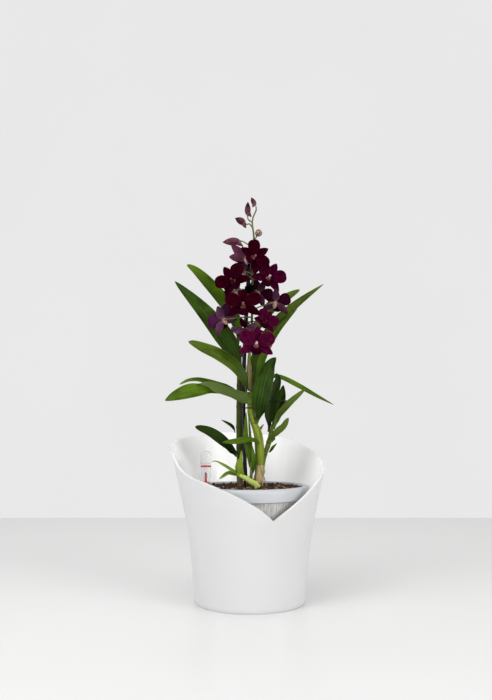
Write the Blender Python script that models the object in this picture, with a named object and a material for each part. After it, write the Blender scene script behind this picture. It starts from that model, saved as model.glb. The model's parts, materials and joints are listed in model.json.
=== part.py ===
"""A potted dendrobium orchid: the plant, its support stake and a wrapped self-watering planter.

The front of the object faces -Y, +X is to its right and +Z is up.  The origin is the centre of
the planter's flat underside.  Every size below is in millimetres and MM turns it into metres.
Run it with: blender --background --python part.py
"""
import math
import random

import bpy
from mathutils import Vector

MM = 0.001
GAP = 0.35

# Planter: one wrapped sheet whose left flap laps over the right flap at the front
PLANTER_PROFILE = [(2.6, 64.0), (47, 67.3), (79, 71.4), (106, 75.8), (136, 82.3), (155, 86.4),
                   (176, 92.4), (195, 98.6)]
PLANTER_WALL = 2.4
PLANTER_FLOOR = 3.4
PLANTER_FOOT_RADIUS = 62.4
PLANTER_FOOT_HEIGHT = 1.2
PLANTER_COLUMNS = 40
PLANTER_ROWS = 4
NOTCH_HEADING = -70.7
FLAP_EDGE = 359.4
# Rim height against the angle travelled clockwise from the notch, as seen from above
RIM_HEIGHTS = [(0, 100), (20, 120), (45, 136), (80, 151), (110, 176), (145, 188), (184, 192),
               (224, 186), (257, 171), (289, 154), (315, 139), (337, 120), (360, 100)]
CREASE_SWEEP = 24.6
CREASE_END = 69.0
CREASE_REACH = 100.0
FLAP_LAP = 2.0
FLAP_FADE = 70.0

# Liner pot, its collar and the level indicator
LINER_SEGMENTS = 28
LINER_BOTTOM = 32.0
LINER_TOP = 128.0
LINER_TOP_RADIUS = 65.7
LINER_BOTTOM_RADIUS = 59.4
LINER_WALL = 1.9
LINER_FLOOR = 2.4
FOOT_OFFSET = 34.0
FOOT_RADIUS = 7.0
FOOT_BORE = 4.8
FOOT_FLOOR = 2.4
DRAIN_RADIUS = 2.6
DRAIN_RING = 20.0
DRAIN_COUNT = 5
JOIN_LAP = 0.6
COLLAR_RADIUS = 68.1
COLLAR_TOP = 133.0
COLLAR_BOTTOM = 118.8
COLLAR_MOUTH = 61.0
LEVEL_X = -50.5
LEVEL_Y = -6.0
LEVEL_TUBE_RADIUS = 6.0
LEVEL_TUBE_BORE = 5.0
LEVEL_TUBE_TOP = 173.0
LEVEL_TUBE_FOOT = 5.6
LEVEL_LIP_HEIGHT = 1.6
LEVEL_LIP_BORE = 3.2
SLEEVE_RADIUS = 8.2
SLEEVE_BORE = 6.5
SLEEVE_TOP = 130.6
SHOULDER_WIDTH = 1.6
SHOULDER_HEIGHT = 1.6
POINTER_TOP = 148.0
# Float, thin rod, disc and thin pointer above the float's underside, as (radius, height)
FLOAT_PROFILE = [(4.3, 26), (0.9, 27), (0.9, 134), (4.2, 134.8), (4.2, 137.2), (0.95, 138),
                 (0.95, POINTER_TOP)]

# Growing medium
SOIL_TOP = 130.0
SOIL_BOTTOM = 34.8
SOIL_RADIUS = 60.6
CHIP_COUNT = 16
CHIP_REACH = 50.0
CHIP_STEM_SPACE = 13.0
CHIP_TUBE_SPACE = 20.0
CHIP_SPACING = 7.5
STEM_HOLE_GAP = 0.5
CHIP_SEED = 11

# Stems as routes of (x, y, z, radius)
STAKE_RADIUS = 2.35
STAKE_FOOT_SHARE = 0.6
STAKE_RINGS = 11
SPIKE_RINGS = 22
STAKE_ROUTE = [(-4.8, 4, 58), (-4.8, 4, 116), (-4.9, 4, 136), (-6.3, 4, 168), (-7.4, 4, 200),
               (-7.4, 4, 235), (-6.7, 4, 277), (-4.6, 4, 323), (-1.7, 4, 372), (-0.2, 4, 394)]
FRONT_CANE = [(8.2, -2, 116, 3.3), (8.2, -2, 133, 3.5), (10.6, -2.4, 152, 4.4), (11, -3, 172, 5.4),
              (9.2, -3, 191, 5.0), (4.4, -3, 204.5, 3.7), (1.7, -3, 213, 4.1), (0.8, -3, 223, 4.0),
              (0, -2.5, 240, 3.1)]
REAR_CANE = [(-11.6, 14, 116, 3.0), (-11.8, 14, 136, 3.3), (-12.6, 14, 190, 3.5),
             (-12.4, 14, 240, 3.2), (-12.2, 14, 272, 2.6), (-11.6, 14, 295, 1.5)]
RIGHT_CANE = [(12, 9, 116, 2.2), (12.2, 9, 134, 2.4), (14.2, 9, 151, 2.5), (17, 9, 167, 2.7),
              (20.8, 9.5, 178, 2.9), (22.9, 10, 186, 2.8), (25.3, 10, 197, 2.2),
              (26, 10, 203, 1.4)]
SPIKE = [(0, -2.5, 241.2, 2.7), (-1.0, -2.5, 262, 2.6), (-0.9, -2.2, 281, 1.9),
         (1.1, -2, 296, 1.5), (2.2, -2, 323, 1.4), (2.8, -2, 369, 1.3), (4.4, -2, 413, 1.1),
         (3.4, -2, 427, 1.0), (2.5, -2, 434, 0.95), (3.7, -2, 441, 0.9), (6.6, -2, 447, 0.8),
         (7.5, -2, 450.5, 0.75), (6.9, -2, 453, 0.7)]
NEW_SHOOT = [(8.4, -18, 119, 3.1), (8.4, -18, 131, 3.2), (6.3, -18.3, 135.4, 3.2),
             (0.8, -19, 138.6, 3.1), (-7, -20, 143.6, 2.8), (-12.3, -20.5, 146.3, 2.2),
             (-14.5, -20.6, 147.2, 1.3)]
DRY_STUB = [(9, -0.5, 195, 2.0), (12.8, 0.6, 199, 1.5), (15.6, 1, 203, 0.4)]
INNER_SHOOT = [(1.2, -5.5, 117, 1.6), (1.2, -5.5, 134, 1.7), (1.5, -6.4, 150, 1.6),
               (1.0, -7.0, 160, 1.1)]

# Clip and ties.  A band round two rods is given by both centres and radii
CLIP_BOTTOM = 352.0
CLIP_SHOULDER = 358.0
CLIP_TOP = 362.5
CLIP_BAND = ((-2.7, 4), 4.0, (2.6, -2), 2.7)
CLIP_BAND_TOP = ((-2.4, 4), 3.45, (2.7, -2), 2.45)
CLIP_STEPS = 6
TIES = [("tie_cane", ((-7.5, 4), 3.9, (0.9, -3), 5.5), 7, 221.7, -0.4, 0.6),
        ("tie_spike", ((-7.2, 4), 5.0, (2.1, -2), 2.6), 6, 320.5, 0.5, 0.5),
        ("tie_leaves", ((21.0, 11), 8.3, (38.5, 15), 7.6), 7, 229.3, 0.8, 0.55)]

# Blades of the shoots: route, half width, facing, place of the widest part, steps
NEW_SHOOT_BLADES = [
    ([(-9.5, -21, 143), (-10.8, -22.8, 155), (-10.3, -23.5, 164), (-9.6, -23.5, 173.5)], 3.0,
     (0.1, -0.95, 0.1), 0.12, 5),
    ([(-12, -20.6, 146), (-19, -21.5, 150), (-29, -22.5, 156.5), (-38.5, -22.5, 161.4),
      (-43, -22.5, 160.4)], 2.8, (0.4, -0.5, 0.75), 0.3, 5),
    ([(-11, -19.5, 145), (-17.5, -17.5, 146.5), (-25.5, -16, 147), (-34.9, -15, 140.7)], 3.1,
     (0.2, -0.6, 0.75), 0.4, 5),
    ([(-10.5, -19.5, 145.5), (-14.5, -17, 153.5), (-13.2, -16, 164)], 2.6, (0.2, -0.9, 0.1),
     0.3, 4)]
INNER_SHOOT_BLADES = [
    ([(1.3, -6.2, 146), (4.2, -8.6, 155), (3.8, -9, 168), (1.7, -9, 181.6)], 2.3,
     (-0.2, -0.95, 0.1), 0.45, 5),
    ([(1.2, -6.8, 154), (-2, -8.2, 171), (-5, -8.6, 190), (-4.4, -8.6, 217)], 3.0,
     (0.15, -0.95, 0.1), 0.5, 6),
    ([(1.2, -6.8, 156), (1.4, -6.4, 172), (0.2, -6.6, 190), (-1.9, -7.2, 215)], 1.7,
     (-0.1, -0.95, 0.1), 0.4, 5)]

LEAF_THICKNESS = 0.75
TEPAL_THICKNESS = 0.7

# Leaves: name, cane, height where it grows, side of the cane in degrees (0 is +X, -90 the
# front), route to the tip, half width, place of the widest part, bluntness of the tip, facing of
# the upper side, cross divisions
LEAVES = [
    ("leaf_upper_left", "rear", 288, 185,
     [(-14.8, 16.5, 300), (-15.5, 17.5, 318), (-23.5, 18, 335.5), (-38.2, 19, 355.6),
      (-53, 20, 372.3), (-64.8, 21, 383.9), (-74.5, 21, 391.2)], 9.0, 0.5, 1.0,
     (0.35, -0.85, 0.35), 4),
    ("leaf_mid_left", "rear", 262, -150,
     [(-16, 9, 279), (-24.4, 9.5, 294.6), (-36.1, 10.5, 311.6), (-49.5, 11.5, 328.6),
      (-65.4, 13, 346.4), (-88, 14, 370.2)], 12.2, 0.36, 0.45, (0.3, -0.9, 0.2), 4),
    ("leaf_arched_left", "front", 233, 192,
     [(-5.4, -6.2, 243), (-8.2, -9.5, 255), (-19.3, -12.5, 269), (-36.2, -14, 280.7),
      (-53.2, -14, 288.3), (-69.7, -13, 296.8)], 9.5, 0.5, 1.2, (0.3, -0.75, 0.6), 4),
    ("leaf_back_left", "rear", 236, -170,
     [(-18.8, 11.5, 242.5), (-25.5, 9, 246.6), (-38.3, 7, 249.5), (-51, 6, 252),
      (-61.3, 5, 253.9), (-71.6, 4, 253.2), (-81.4, 3, 248.8)], 4.6, 0.6, 0.6,
     (0.1, -0.6, 0.8), 2),
    ("leaf_low_left", "rear", 165, -150,
     [(-19.4, 10.5, 171), (-27.9, 9, 179.5), (-38.3, 7, 187.7), (-49.2, 6, 194.6),
      (-63.7, 6, 200.3)], 7.6, 0.48, 1.0, (0.35, -0.75, 0.55), 4),
    ("leaf_small_left", "rear", 193, 180,
     [(-20, 13, 199), (-26, 12, 204), (-33.6, 11, 208)], 2.5, 0.46, 0.3, (0.3, -0.7, 0.6), 2),
    ("leaf_front_level", "front", 181, -90,
     [(5.3, -13, 184.6), (-3.4, -15, 185), (-16.9, -15, 183.2), (-31.6, -15, 182.2)], 4.6, 0.5,
     0.5, (0, -0.75, 0.65), 2),
    ("leaf_upper_right", "front", 233, 65,
     [(4.0, 4.6, 244), (5.6, 10.5, 262.5), (10, 17, 282), (21.2, 22, 304.8), (37.3, 25, 327.7),
      (59.3, 27, 348.2), (87.3, 28, 369.4)], 9.4, 0.42, 0.35, (-0.35, -0.8, 0.45), 4),
    ("leaf_far_right", "rear", 282, 5,
     [(-6, 16.5, 294), (6.5, 22, 315), (23.8, 29, 337.8), (40.7, 34, 352.3), (59.9, 38, 364.9)],
     7.4, 0.55, 0.9, (-0.3, -0.85, 0.4), 2),
    ("leaf_bright_right", "front", 227, -8,
     [(7.3, -3.8, 236), (8.9, -0.8, 251), (12.2, 4.5, 270), (20.3, 8, 291.6), (34.4, 11, 314.6),
      (55, 15, 337.9)], 5.0, 0.5, 0.4, (-0.3, -0.85, 0.4), 2),
    ("leaf_dark_right", "front", 204, -25,
     [(10.5, -8.5, 215), (12.3, -11.5, 228.2), (15, -12.5, 242.4), (19.3, -12.5, 258.8),
      (23.2, -12, 270.2), (29.5, -11, 278.9)], 10.9, 0.5, 0.7, (-0.25, -0.9, 0.3), 4),
    ("leaf_side_right", "right", 194, 180,
     [(21.8, 10.2, 209), (23.6, 10, 226.6), (28, 11, 241.8), (32.4, 12, 254.1),
      (30.7, 12, 262.8)], 6.9, 0.55, 0.6, (0.1, -0.95, 0.2), 4),
    ("leaf_back_right", "right", 197, 60,
     [(31, 15.5, 211), (34.2, 16.5, 224.5), (37.4, 17, 236.2), (39, 16.5, 249.1)], 6.5, 0.5, 0.6,
     (-0.2, -0.9, 0.2), 2),
    ("leaf_trailing_right", "front", 226, 128,
     [(-0.7, 5.8, 236), (9.2, 15, 250.2), (23.5, 20, 258.7), (36.6, 22, 257.9), (55.5, 23, 248.8),
      (78.1, 24, 236.7), (98.9, 24, 226.1)], 3.9, 0.6, 0.4, (0.1, -0.75, 0.65), 2),
    ("leaf_light_right", "right", 199, -30,
     [(31, 6, 208), (35.8, 4, 216), (45, 2.5, 225.8), (54.8, 2, 235), (64.2, 2, 243.9)], 5.5, 0.5,
     0.5, (-0.4, -0.7, 0.55), 2),
    ("leaf_curled_right", "right", 182, -45,
     [(27.5, 4.5, 189), (33, 2, 194.5), (39.8, 0.5, 200.5), (44.3, 1, 210.5)], 6.0, 0.5, 0.8,
     (-0.5, -0.6, 0.6), 2),
    ("leaf_small_right", "right", 170, -25,
     [(25.4, 5, 174), (28, 4, 177.5), (31, 3.4, 181)], 2.3, 0.46, 0.3, (-0.3, -0.7, 0.6), 2),
]
DARK_LEAVES = ("leaf_mid_left", "leaf_low_left", "leaf_dark_right", "leaf_side_right",
               "leaf_back_right", "leaf_small_left")
LEAF_BASE_WIDTH = 0.30
LEAF_END_WIDTH = 0.06
LEAF_CUP = 0.16
LEAF_HOLD = 0.25
# The twisted leaf: sections from its cane to its tip, each its midrib, near and far margin
TWISTED_LEAF = [
    ((2.0, -8.9, 228), (-1.4, -9.9, 224.2), (1.4, -8.4, 225.4)),
    ((0.9, -10.8, 231.7), (-2.4, -12.4, 225.6), (-0.8, -8.8, 228)),
    ((-4, -14, 238), (-11.3, -17, 228), (-9.1, -9.5, 231.7)),
    ((-14.3, -17, 241.2), (-21.4, -21, 233), (-18.7, -10, 235.1)),
    ((-25.5, -19, 245.3), (-31.5, -23, 236.5), (-27.8, -11.5, 236.9)),
    ((-37.7, -19, 249.5), (-39.7, -24, 239.5), (-37.3, -14, 237.9)),
    ((-47.2, -17, 250.6), (-45.8, -24, 244.3), (-46.1, -17, 237.6)),
    ((-56.1, -15.5, 248.9), (-53, -23, 247.6), (-54.9, -19.5, 235.2)),
    ((-66.3, -18.5, 242.8), (-65.6, -14.5, 249.2), (-64.9, -22, 232.8)),
    ((-77.8, -16.5, 238.2), (-77.1, -14, 246.1), (-76.3, -19.5, 230.8)),
    ((-88.6, -13.5, 233), (-89.6, -12, 238.3), (-88.1, -15.5, 229.6)),
    ((-96.2, -12, 230), (-96.2, -11.9, 230.8), (-96, -12.1, 229.3))]
TWISTED_STEPS = 12

# Blooms: name, centre, heading and elevation of the face (heading 0 looks out of the front,
# 90 to the right), roll of the upper sepal, size factor, openness tilt, height of its pedicel
BLOOMS = [
    ("bloom_top_front", (5.8, -19, 391.7), 0, 2, -61, 0.86, 8, 384),
    ("bloom_upper_left", (-20.0, -15, 365.9), -12, 0, 36, 0.93, 8, 372),
    ("bloom_upper_right", (21.6, -12, 370), 12, 0, -27, 0.92, 8, 369),
    ("bloom_centre", (-7.6, -26, 336), 0, 8, 3, 1.0, 6, 332),
    ("bloom_right_side", (29.2, -6, 341.6), 143, 22, 16, 0.88, 12, 334),
    ("bloom_left_turned", (-30.0, -12, 321.6), -138, 14, -40, 0.92, 12, 326),
    ("bloom_lower_right", (17.0, -12, 318.8), 25, 16, -34, 0.72, 30, 307),
    ("bloom_lowest", (7.2, -28, 293.8), 6, 2, -3, 0.9, 8, 300),
    ("bloom_nodding", (-3.0, -10.5, 310.6), -20, -52, 0, 0.84, 10, 313),
    ("bloom_back_left", (-17, 3, 355), -142, -12, 25, 0.8, 10, 347),
    ("bloom_back_upper", (-7, 13.8, 380), 172, 10, 0, 0.82, 10, 375),
    ("bloom_back_right", (9.6, 13, 356.5), 152, 0, 34, 0.84, 10, 338),
    ("bloom_half_open", (-4.4, -7.5, 391.8), -112, 14, 20, 0.94, 50, 399),
]
PLAIN_BLOOMS = ("bloom_nodding", "bloom_back_left", "bloom_back_upper", "bloom_back_right",
                "bloom_half_open")

# Tepals: angle from the upper sepal, length, half width, tilt added, whether it is a petal
TEPALS = [(0, 18.5, 5.4, -4, False), (62, 20, 7.2, 5, True), (-62, 20, 7.2, 5, True),
          (120, 20.5, 5.1, -4, False), (-120, 20.5, 5.1, -4, False)]
TEPAL_STOPS = [0, 0.28, 0.58, 0.85, 1.0]
PLAIN_TEPAL_STOPS = [0, 0.36, 0.74, 1.0]
TEPAL_CURL = -16
TEPAL_START = 1.3
# Shape of a sepal and a petal: widest place, width at the base and at the end, bluntness, cup,
# and how far it stands in front of the bloom's middle
SEPAL_SHAPE = (0.42, 0.28, 0.12, 0.45, 0.18, -0.6)
PETAL_SHAPE = (0.56, 0.26, 0.46, 1.3, 0.22, 1.0)
# Lip: its middle line as (down, out) from the bloom's middle, and half widths
LIP_ROUTE = [(1.2, 0.6), (4.0, 3.4), (8.4, 4.0), (12.2, 2.4)]
LIP_WIDTHS = (1.2, 4.2, 5.8, 3.6)
NECK_LENGTH = 6.6

# Buds: name, base, tip, radius, direction of the spur
BUDS = [
    ("bud_tip", (6.4, -2, 453.6), (1.4, -2, 463.3), 2.8, (-0.7, -0.2, -0.7)),
    ("bud_upright", (-2.6, -3.5, 441.4), (-2.4, -3.5, 457.8), 3.4, (0.9, -0.2, -0.7)),
    ("bud_left", (-5.0, -3.5, 432.6), (-17.1, -4, 439), 4.0, (0.3, -0.1, -1.0)),
    ("bud_facing", (8.2, -4.5, 419.2), (11.6, -13.5, 422.6), 4.1, (0.7, 0.3, 0.6)),
    ("bud_level", (-10.5, -5.5, 412.0), (-31.5, -7, 410.6), 4.4, (0.7, 0, -0.75)),
]
BUD_STALKS = [
    (434.5, [(-1.8, -2.8, 437.5)], 1),
    (427.5, [(-0.5, -2.8, 432.5)], 2),
    (414.5, [(6.6, -3.2, 416.5)], 3),
    (403.0, [(-2.0, -4, 408.5)], 4),
]
BUD_PROFILE = [(0, 0.34), (0.16, 0.82), (0.42, 1.0), (0.68, 0.82), (0.88, 0.42), (1.0, 0.12)]
BUD_SPUR_REACH = 1.45


def clear_scene():
    """Remove what the start-up file holds."""
    for item in list(bpy.data.objects):
        bpy.data.objects.remove(item, do_unlink=True)


def material(name, colour, roughness, metallic=0.0, alpha=1.0):
    """Make a Principled material, or return it if it is there already."""
    found = bpy.data.materials.get(name)
    if found is not None:
        return found
    made = bpy.data.materials.new(name)
    made.use_nodes = True
    shader = made.node_tree.nodes["Principled BSDF"]
    shader.inputs["Base Color"].default_value = (*colour, 1.0)
    shader.inputs["Roughness"].default_value = roughness
    shader.inputs["Metallic"].default_value = metallic
    shader.inputs["Alpha"].default_value = alpha
    made.diffuse_color = (*colour, alpha)
    return made


def new_object(name, shape, surface=None, smooth=True):
    """Make an object from (points in millimetres, faces)."""
    points, faces = shape
    mesh = bpy.data.meshes.new(name)
    mesh.from_pydata([tuple(c * MM for c in p) for p in points], [], faces)
    mesh.validate()
    mesh.update()
    if smooth:
        mesh.shade_smooth()
        mesh.set_sharp_from_angle(angle=math.radians(40))
    made = bpy.data.objects.new(name, mesh)
    bpy.context.scene.collection.objects.link(made)
    if surface is not None:
        mesh.materials.append(surface)
    return made


def boolean(target, others, operation):
    """Join or cut target with a collection of others, apply it and remove the collection."""
    group = bpy.data.collections.new("operands")
    bpy.context.scene.collection.children.link(group)
    for item in others:
        bpy.context.scene.collection.objects.unlink(item)
        group.objects.link(item)
    step = target.modifiers.new(operation.lower(), "BOOLEAN")
    step.operation = operation
    step.operand_type = "COLLECTION"
    step.collection = group
    step.solver = "EXACT"
    evaluated = target.evaluated_get(bpy.context.evaluated_depsgraph_get())
    mesh = bpy.data.meshes.new_from_object(evaluated)
    target.modifiers.clear()
    spent = target.data
    surface = spent.materials[0] if spent.materials else None
    target.data = mesh
    mesh.name = target.name
    mesh.materials.clear()
    if surface is not None:
        mesh.materials.append(surface)
    mesh.shade_smooth()
    mesh.set_sharp_from_angle(angle=math.radians(40))
    bpy.data.meshes.remove(spent)
    for item in list(group.objects):
        bpy.data.objects.remove(item, do_unlink=True)
    bpy.data.collections.remove(group)
    return target


def fused(name, shapes, surface):
    """Make one closed object from overlapping closed shapes."""
    target = new_object(name, shapes[0], surface)
    others = [new_object("piece", shape) for shape in shapes[1:]]
    if others:
        boolean(target, others, "UNION")
    return target


def cut(target, shapes):
    """Cut closed shapes out of an object."""
    return boolean(target, [new_object("cutter", shape) for shape in shapes], "DIFFERENCE")


def eased(table, at):
    """Read a table of (key, value) pairs with a smooth curve through them."""
    count = len(table)
    for i in range(count - 1):
        low, first = table[i]
        high, second = table[i + 1]
        if at <= high or i == count - 2:
            before = table[max(i - 1, 0)]
            after = table[min(i + 2, count - 1)]
            width = high - low
            slope_in = (second - before[1]) / (high - before[0]) * width
            slope_out = (after[1] - first) / (after[0] - low) * width
            t = min(1.0, max(0.0, (at - low) / width))
            return ((2 * t**3 - 3 * t**2 + 1) * first + (t**3 - 2 * t**2 + t) * slope_in
                    + (3 * t**2 - 2 * t**3) * second + (t**3 - t**2) * slope_out)
    return table[-1][1]


def smooth_route(route, count):
    """Sample a smooth curve through the route's points, evenly along its length."""
    marks = [tuple(float(c) for c in p) for p in route]
    ends = [marks[0]] + marks + [marks[-1]]
    dense = []
    for i in range(len(marks) - 1):
        a, b, c, d = ends[i:i + 4]
        for step in range(12):
            t = step / 12
            dense.append(tuple(
                0.5 * (2 * q + (r - p) * t + (2 * p - 5 * q + 4 * r - s) * t**2
                       + (3 * q - p - 3 * r + s) * t**3)
                for p, q, r, s in zip(a, b, c, d)))
    dense.append(marks[-1])
    run = [0.0]
    for first, second in zip(dense, dense[1:]):
        run.append(run[-1] + math.dist(first[:3], second[:3]))
    samples = []
    for i in range(count):
        at = run[-1] * i / (count - 1)
        k = next((j for j in range(1, len(run)) if run[j] >= at - 1e-9), len(run) - 1)
        share = (at - run[k - 1]) / max(1e-9, run[k] - run[k - 1])
        samples.append(tuple(p + (q - p) * share for p, q in zip(dense[k - 1], dense[k])))
    return samples


def tangents(points):
    """Unit directions along a list of points."""
    last = len(points) - 1
    return [(points[min(i + 1, last)] - points[max(i - 1, 0)]).normalized()
            for i in range(last + 1)]


def tube(samples, sides, grow=0.0, first=None):
    """A closed round tube through (x, y, z, radius) samples, its first corner set by first."""
    centres = [Vector(s[:3]) for s in samples]
    radii = [s[3] + grow for s in samples]
    along = tangents(centres)
    across = first or along[0].orthogonal().normalized()
    points = []
    for centre, radius, axis in zip(centres, radii, along):
        across = (across - axis * across.dot(axis)).normalized()
        other = axis.cross(across)
        for k in range(sides):
            turn = 2 * math.pi * k / sides
            points.append(centre + (across * math.cos(turn) + other * math.sin(turn)) * radius)
    faces = []
    for i in range(len(centres) - 1):
        for k in range(sides):
            a = i * sides + k
            b = i * sides + (k + 1) % sides
            faces.append((a, b, b + sides, a + sides))
    faces.append(tuple(reversed(range(sides))))
    last = (len(centres) - 1) * sides
    faces.append(tuple(range(last, last + sides)))
    return points, faces


def turned(profile, segments, centre=(0.0, 0.0)):
    """Turn a profile of (radius, height) about a vertical axis.

    The profile runs anticlockwise in the radius-height plane: up the outer side.  It is closed
    by itself, or through the axis where its first and last radius are 0.
    """
    on_axis = profile[0][0] == 0
    ring = profile[1:-1] if on_axis else profile
    points = []
    for radius, height in ring:
        for k in range(segments):
            turn = 2 * math.pi * k / segments
            points.append((centre[0] + radius * math.cos(turn),
                           centre[1] + radius * math.sin(turn), height))
    faces = []
    runs = len(ring) - 1 if on_axis else len(ring)
    for i in range(runs):
        j = (i + 1) % len(ring)
        for k in range(segments):
            n = (k + 1) % segments
            faces.append((i * segments + k, i * segments + n, j * segments + n,
                          j * segments + k))
    if on_axis:
        low = len(points)
        points.append((centre[0], centre[1], profile[0][1]))
        points.append((centre[0], centre[1], profile[-1][1]))
        top = (len(ring) - 1) * segments
        for k in range(segments):
            n = (k + 1) % segments
            faces.append((low, n, k))
            faces.append((low + 1, top + k, top + n))
    return points, faces


def post(x, y, bottom, top, radius, segments):
    """A plain upright cylinder."""
    return turned([(0, bottom), (radius, bottom), (radius, top), (0, top)], segments, (x, y))


def sheet(upper, lower):
    """A closed thin sheet between rows of upper and lower points, split alike on both faces."""
    columns = len(upper[0]) - 1
    wide = columns + 1
    points = [spot for row in upper + lower for spot in row]
    deep = len(upper) * wide
    faces = []
    for i in range(len(upper) - 1):
        for k in range(columns):
            a = i * wide + k
            corners = (a, a + 1, a + wide + 1, a + wide)
            if k < columns / 2:
                split = [(0, 1, 2), (0, 2, 3)]
            else:
                split = [(0, 1, 3), (1, 2, 3)]
            for p, q, r in split:
                faces.append((corners[p], corners[q], corners[r]))
                faces.append((deep + corners[p], deep + corners[r], deep + corners[q]))
        left = i * wide
        right = left + columns
        faces.append((left, left + wide, deep + left + wide, deep + left))
        faces.append((right, deep + right, deep + right + wide, right + wide))
    last = (len(upper) - 1) * wide
    for k in range(columns):
        faces.append((k + 1, k, deep + k, deep + k + 1))
        faces.append((last + k, last + k + 1, deep + last + k + 1, deep + last + k))
    return points, faces


def blade(samples, normals, half_widths, cups, thickness, columns):
    """A closed thin blade about a midline.

    cups lift the margins towards the upper side, as a share of the half width.
    """
    centres = [Vector(s[:3]) for s in samples]
    upper = []
    lower = []
    for centre, axis, normal, half, cup in zip(centres, tangents(centres), normals, half_widths,
                                               cups):
        up = (normal - axis * normal.dot(axis)).normalized()
        side = axis.cross(up)
        row = []
        for k in range(columns + 1):
            u = 2 * k / columns - 1
            row.append(centre + side * (u * half) + up * (cup * half * abs(u) ** 1.5))
        upper.append([spot + up * (thickness / 2) for spot in row])
        lower.append([spot - up * (thickness / 2) for spot in row])
    return sheet(upper, lower)


def folded_blade(sections, steps, thickness):
    """A closed thin blade through sections of (midrib, near margin, far margin)."""
    flat = [tuple(c for spot in section for c in spot) for section in sections]
    rows = []
    for sample in smooth_route(flat, steps + 1):
        middle, near, far = (Vector(sample[i:i + 3]) for i in (0, 3, 6))
        rows.append([far, far.lerp(middle, 0.5), middle, middle.lerp(near, 0.5), near])
    upper = []
    lower = []
    for row, axis in zip(rows, tangents([row[2] for row in rows])):
        far_up = (row[2] - row[0]).cross(axis).normalized()
        near_up = (row[4] - row[2]).cross(axis).normalized()
        ridge = (far_up + near_up).normalized()
        ridge *= min(2.4, 1 / max(0.1, ridge.dot(near_up)))
        ups = [far_up, far_up, ridge, near_up, near_up]
        upper.append([spot + up * (thickness / 2) for spot, up in zip(row, ups)])
        lower.append([spot - up * (thickness / 2) for spot, up in zip(row, ups)])
    return sheet(upper, lower)


def width_share(s, peak, base, end, blunt):
    """Half width along a blade as a share of its widest, from base (s = 0) to tip (s = 1)."""
    if s < peak:
        return base + (1 - base) * math.sin(math.pi / 2 * s / peak) ** 1.2
    fall = (s - peak) / (1 - peak)
    return max(end, max(0.0, 1 - fall ** (1 + blunt)) ** (1 / (1 + 0.9 * blunt)))


def planter_radius(height):
    """Outer radius of the planter at a height."""
    return eased(PLANTER_PROFILE, height)


def planter_point(travel, height, inset):
    """A point on the planter's wall, at an angle travelled from the notch and a height."""
    notch_height = RIM_HEIGHTS[0][1]
    fall = min(1.0, max(0.0, (notch_height - height) / (notch_height - CREASE_END)))
    shift = CREASE_SWEEP * (1 - (1 - fall) ** 1.4)
    signed = travel if travel <= 180 else travel - 360
    reach = max(0.0, 1 - abs(signed) / CREASE_REACH)
    turn = math.radians(NOTCH_HEADING - travel + shift * math.sin(math.pi / 2 * reach) ** 2)
    lap = 0.0
    if travel < FLAP_FADE:
        lap = FLAP_LAP * (1 - fall) * math.cos(math.pi / 2 * travel / FLAP_FADE) ** 2
    radius = planter_radius(height) + lap - inset
    return radius * math.cos(turn), radius * math.sin(turn), height


def planter():
    """The decorative outer pot: a flared wall with a notched rim, over a flat floor."""
    columns = PLANTER_COLUMNS
    base = PLANTER_PROFILE[0][0]
    sections = []
    for k in range(columns):
        travel = FLAP_EDGE * k / (columns - 1)
        rim = eased(RIM_HEIGHTS, travel)
        shares = [j / PLANTER_ROWS for j in range(PLANTER_ROWS + 1)]
        low = Vector(planter_point(travel, base, 0))
        foot = low.xy.normalized() * PLANTER_FOOT_RADIUS
        section = [(foot.x, foot.y, 0.0), (foot.x, foot.y, PLANTER_FOOT_HEIGHT)]
        section += [planter_point(travel, base + (rim - base) * s, 0) for s in shares]
        section += [planter_point(travel, PLANTER_FLOOR + (rim - PLANTER_FLOOR) * s, PLANTER_WALL)
                    for s in reversed(shares)]
        sections.append(section)
    rings = list(zip(*sections))
    points = [point for ring in rings for point in ring]
    faces = []
    for i in range(len(rings) - 1):
        for k in range(columns):
            n = (k + 1) % columns
            a = i * columns
            faces.append((a + n, a + k, a + columns + k))
            faces.append((a + n, a + columns + k, a + columns + n))
    faces.append(tuple(range(columns)))
    faces.append(tuple(reversed(range(len(points) - columns, len(points)))))
    return new_object("planter", (points, faces), material("planter white", (0.84, 0.84, 0.84), 0.38))


def liner_inner_radius(height):
    """Inner radius of the liner pot at a height."""
    share = (height - LINER_BOTTOM) / (LINER_TOP - LINER_BOTTOM)
    outer = LINER_BOTTOM_RADIUS + (LINER_TOP_RADIUS - LINER_BOTTOM_RADIUS) * share
    return outer - LINER_WALL


def liner_feet():
    """Centres of the four hollow wick feet."""
    return [(sx * FOOT_OFFSET, sy * FOOT_OFFSET) for sx in (-1, 1) for sy in (-1, 1)]


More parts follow.
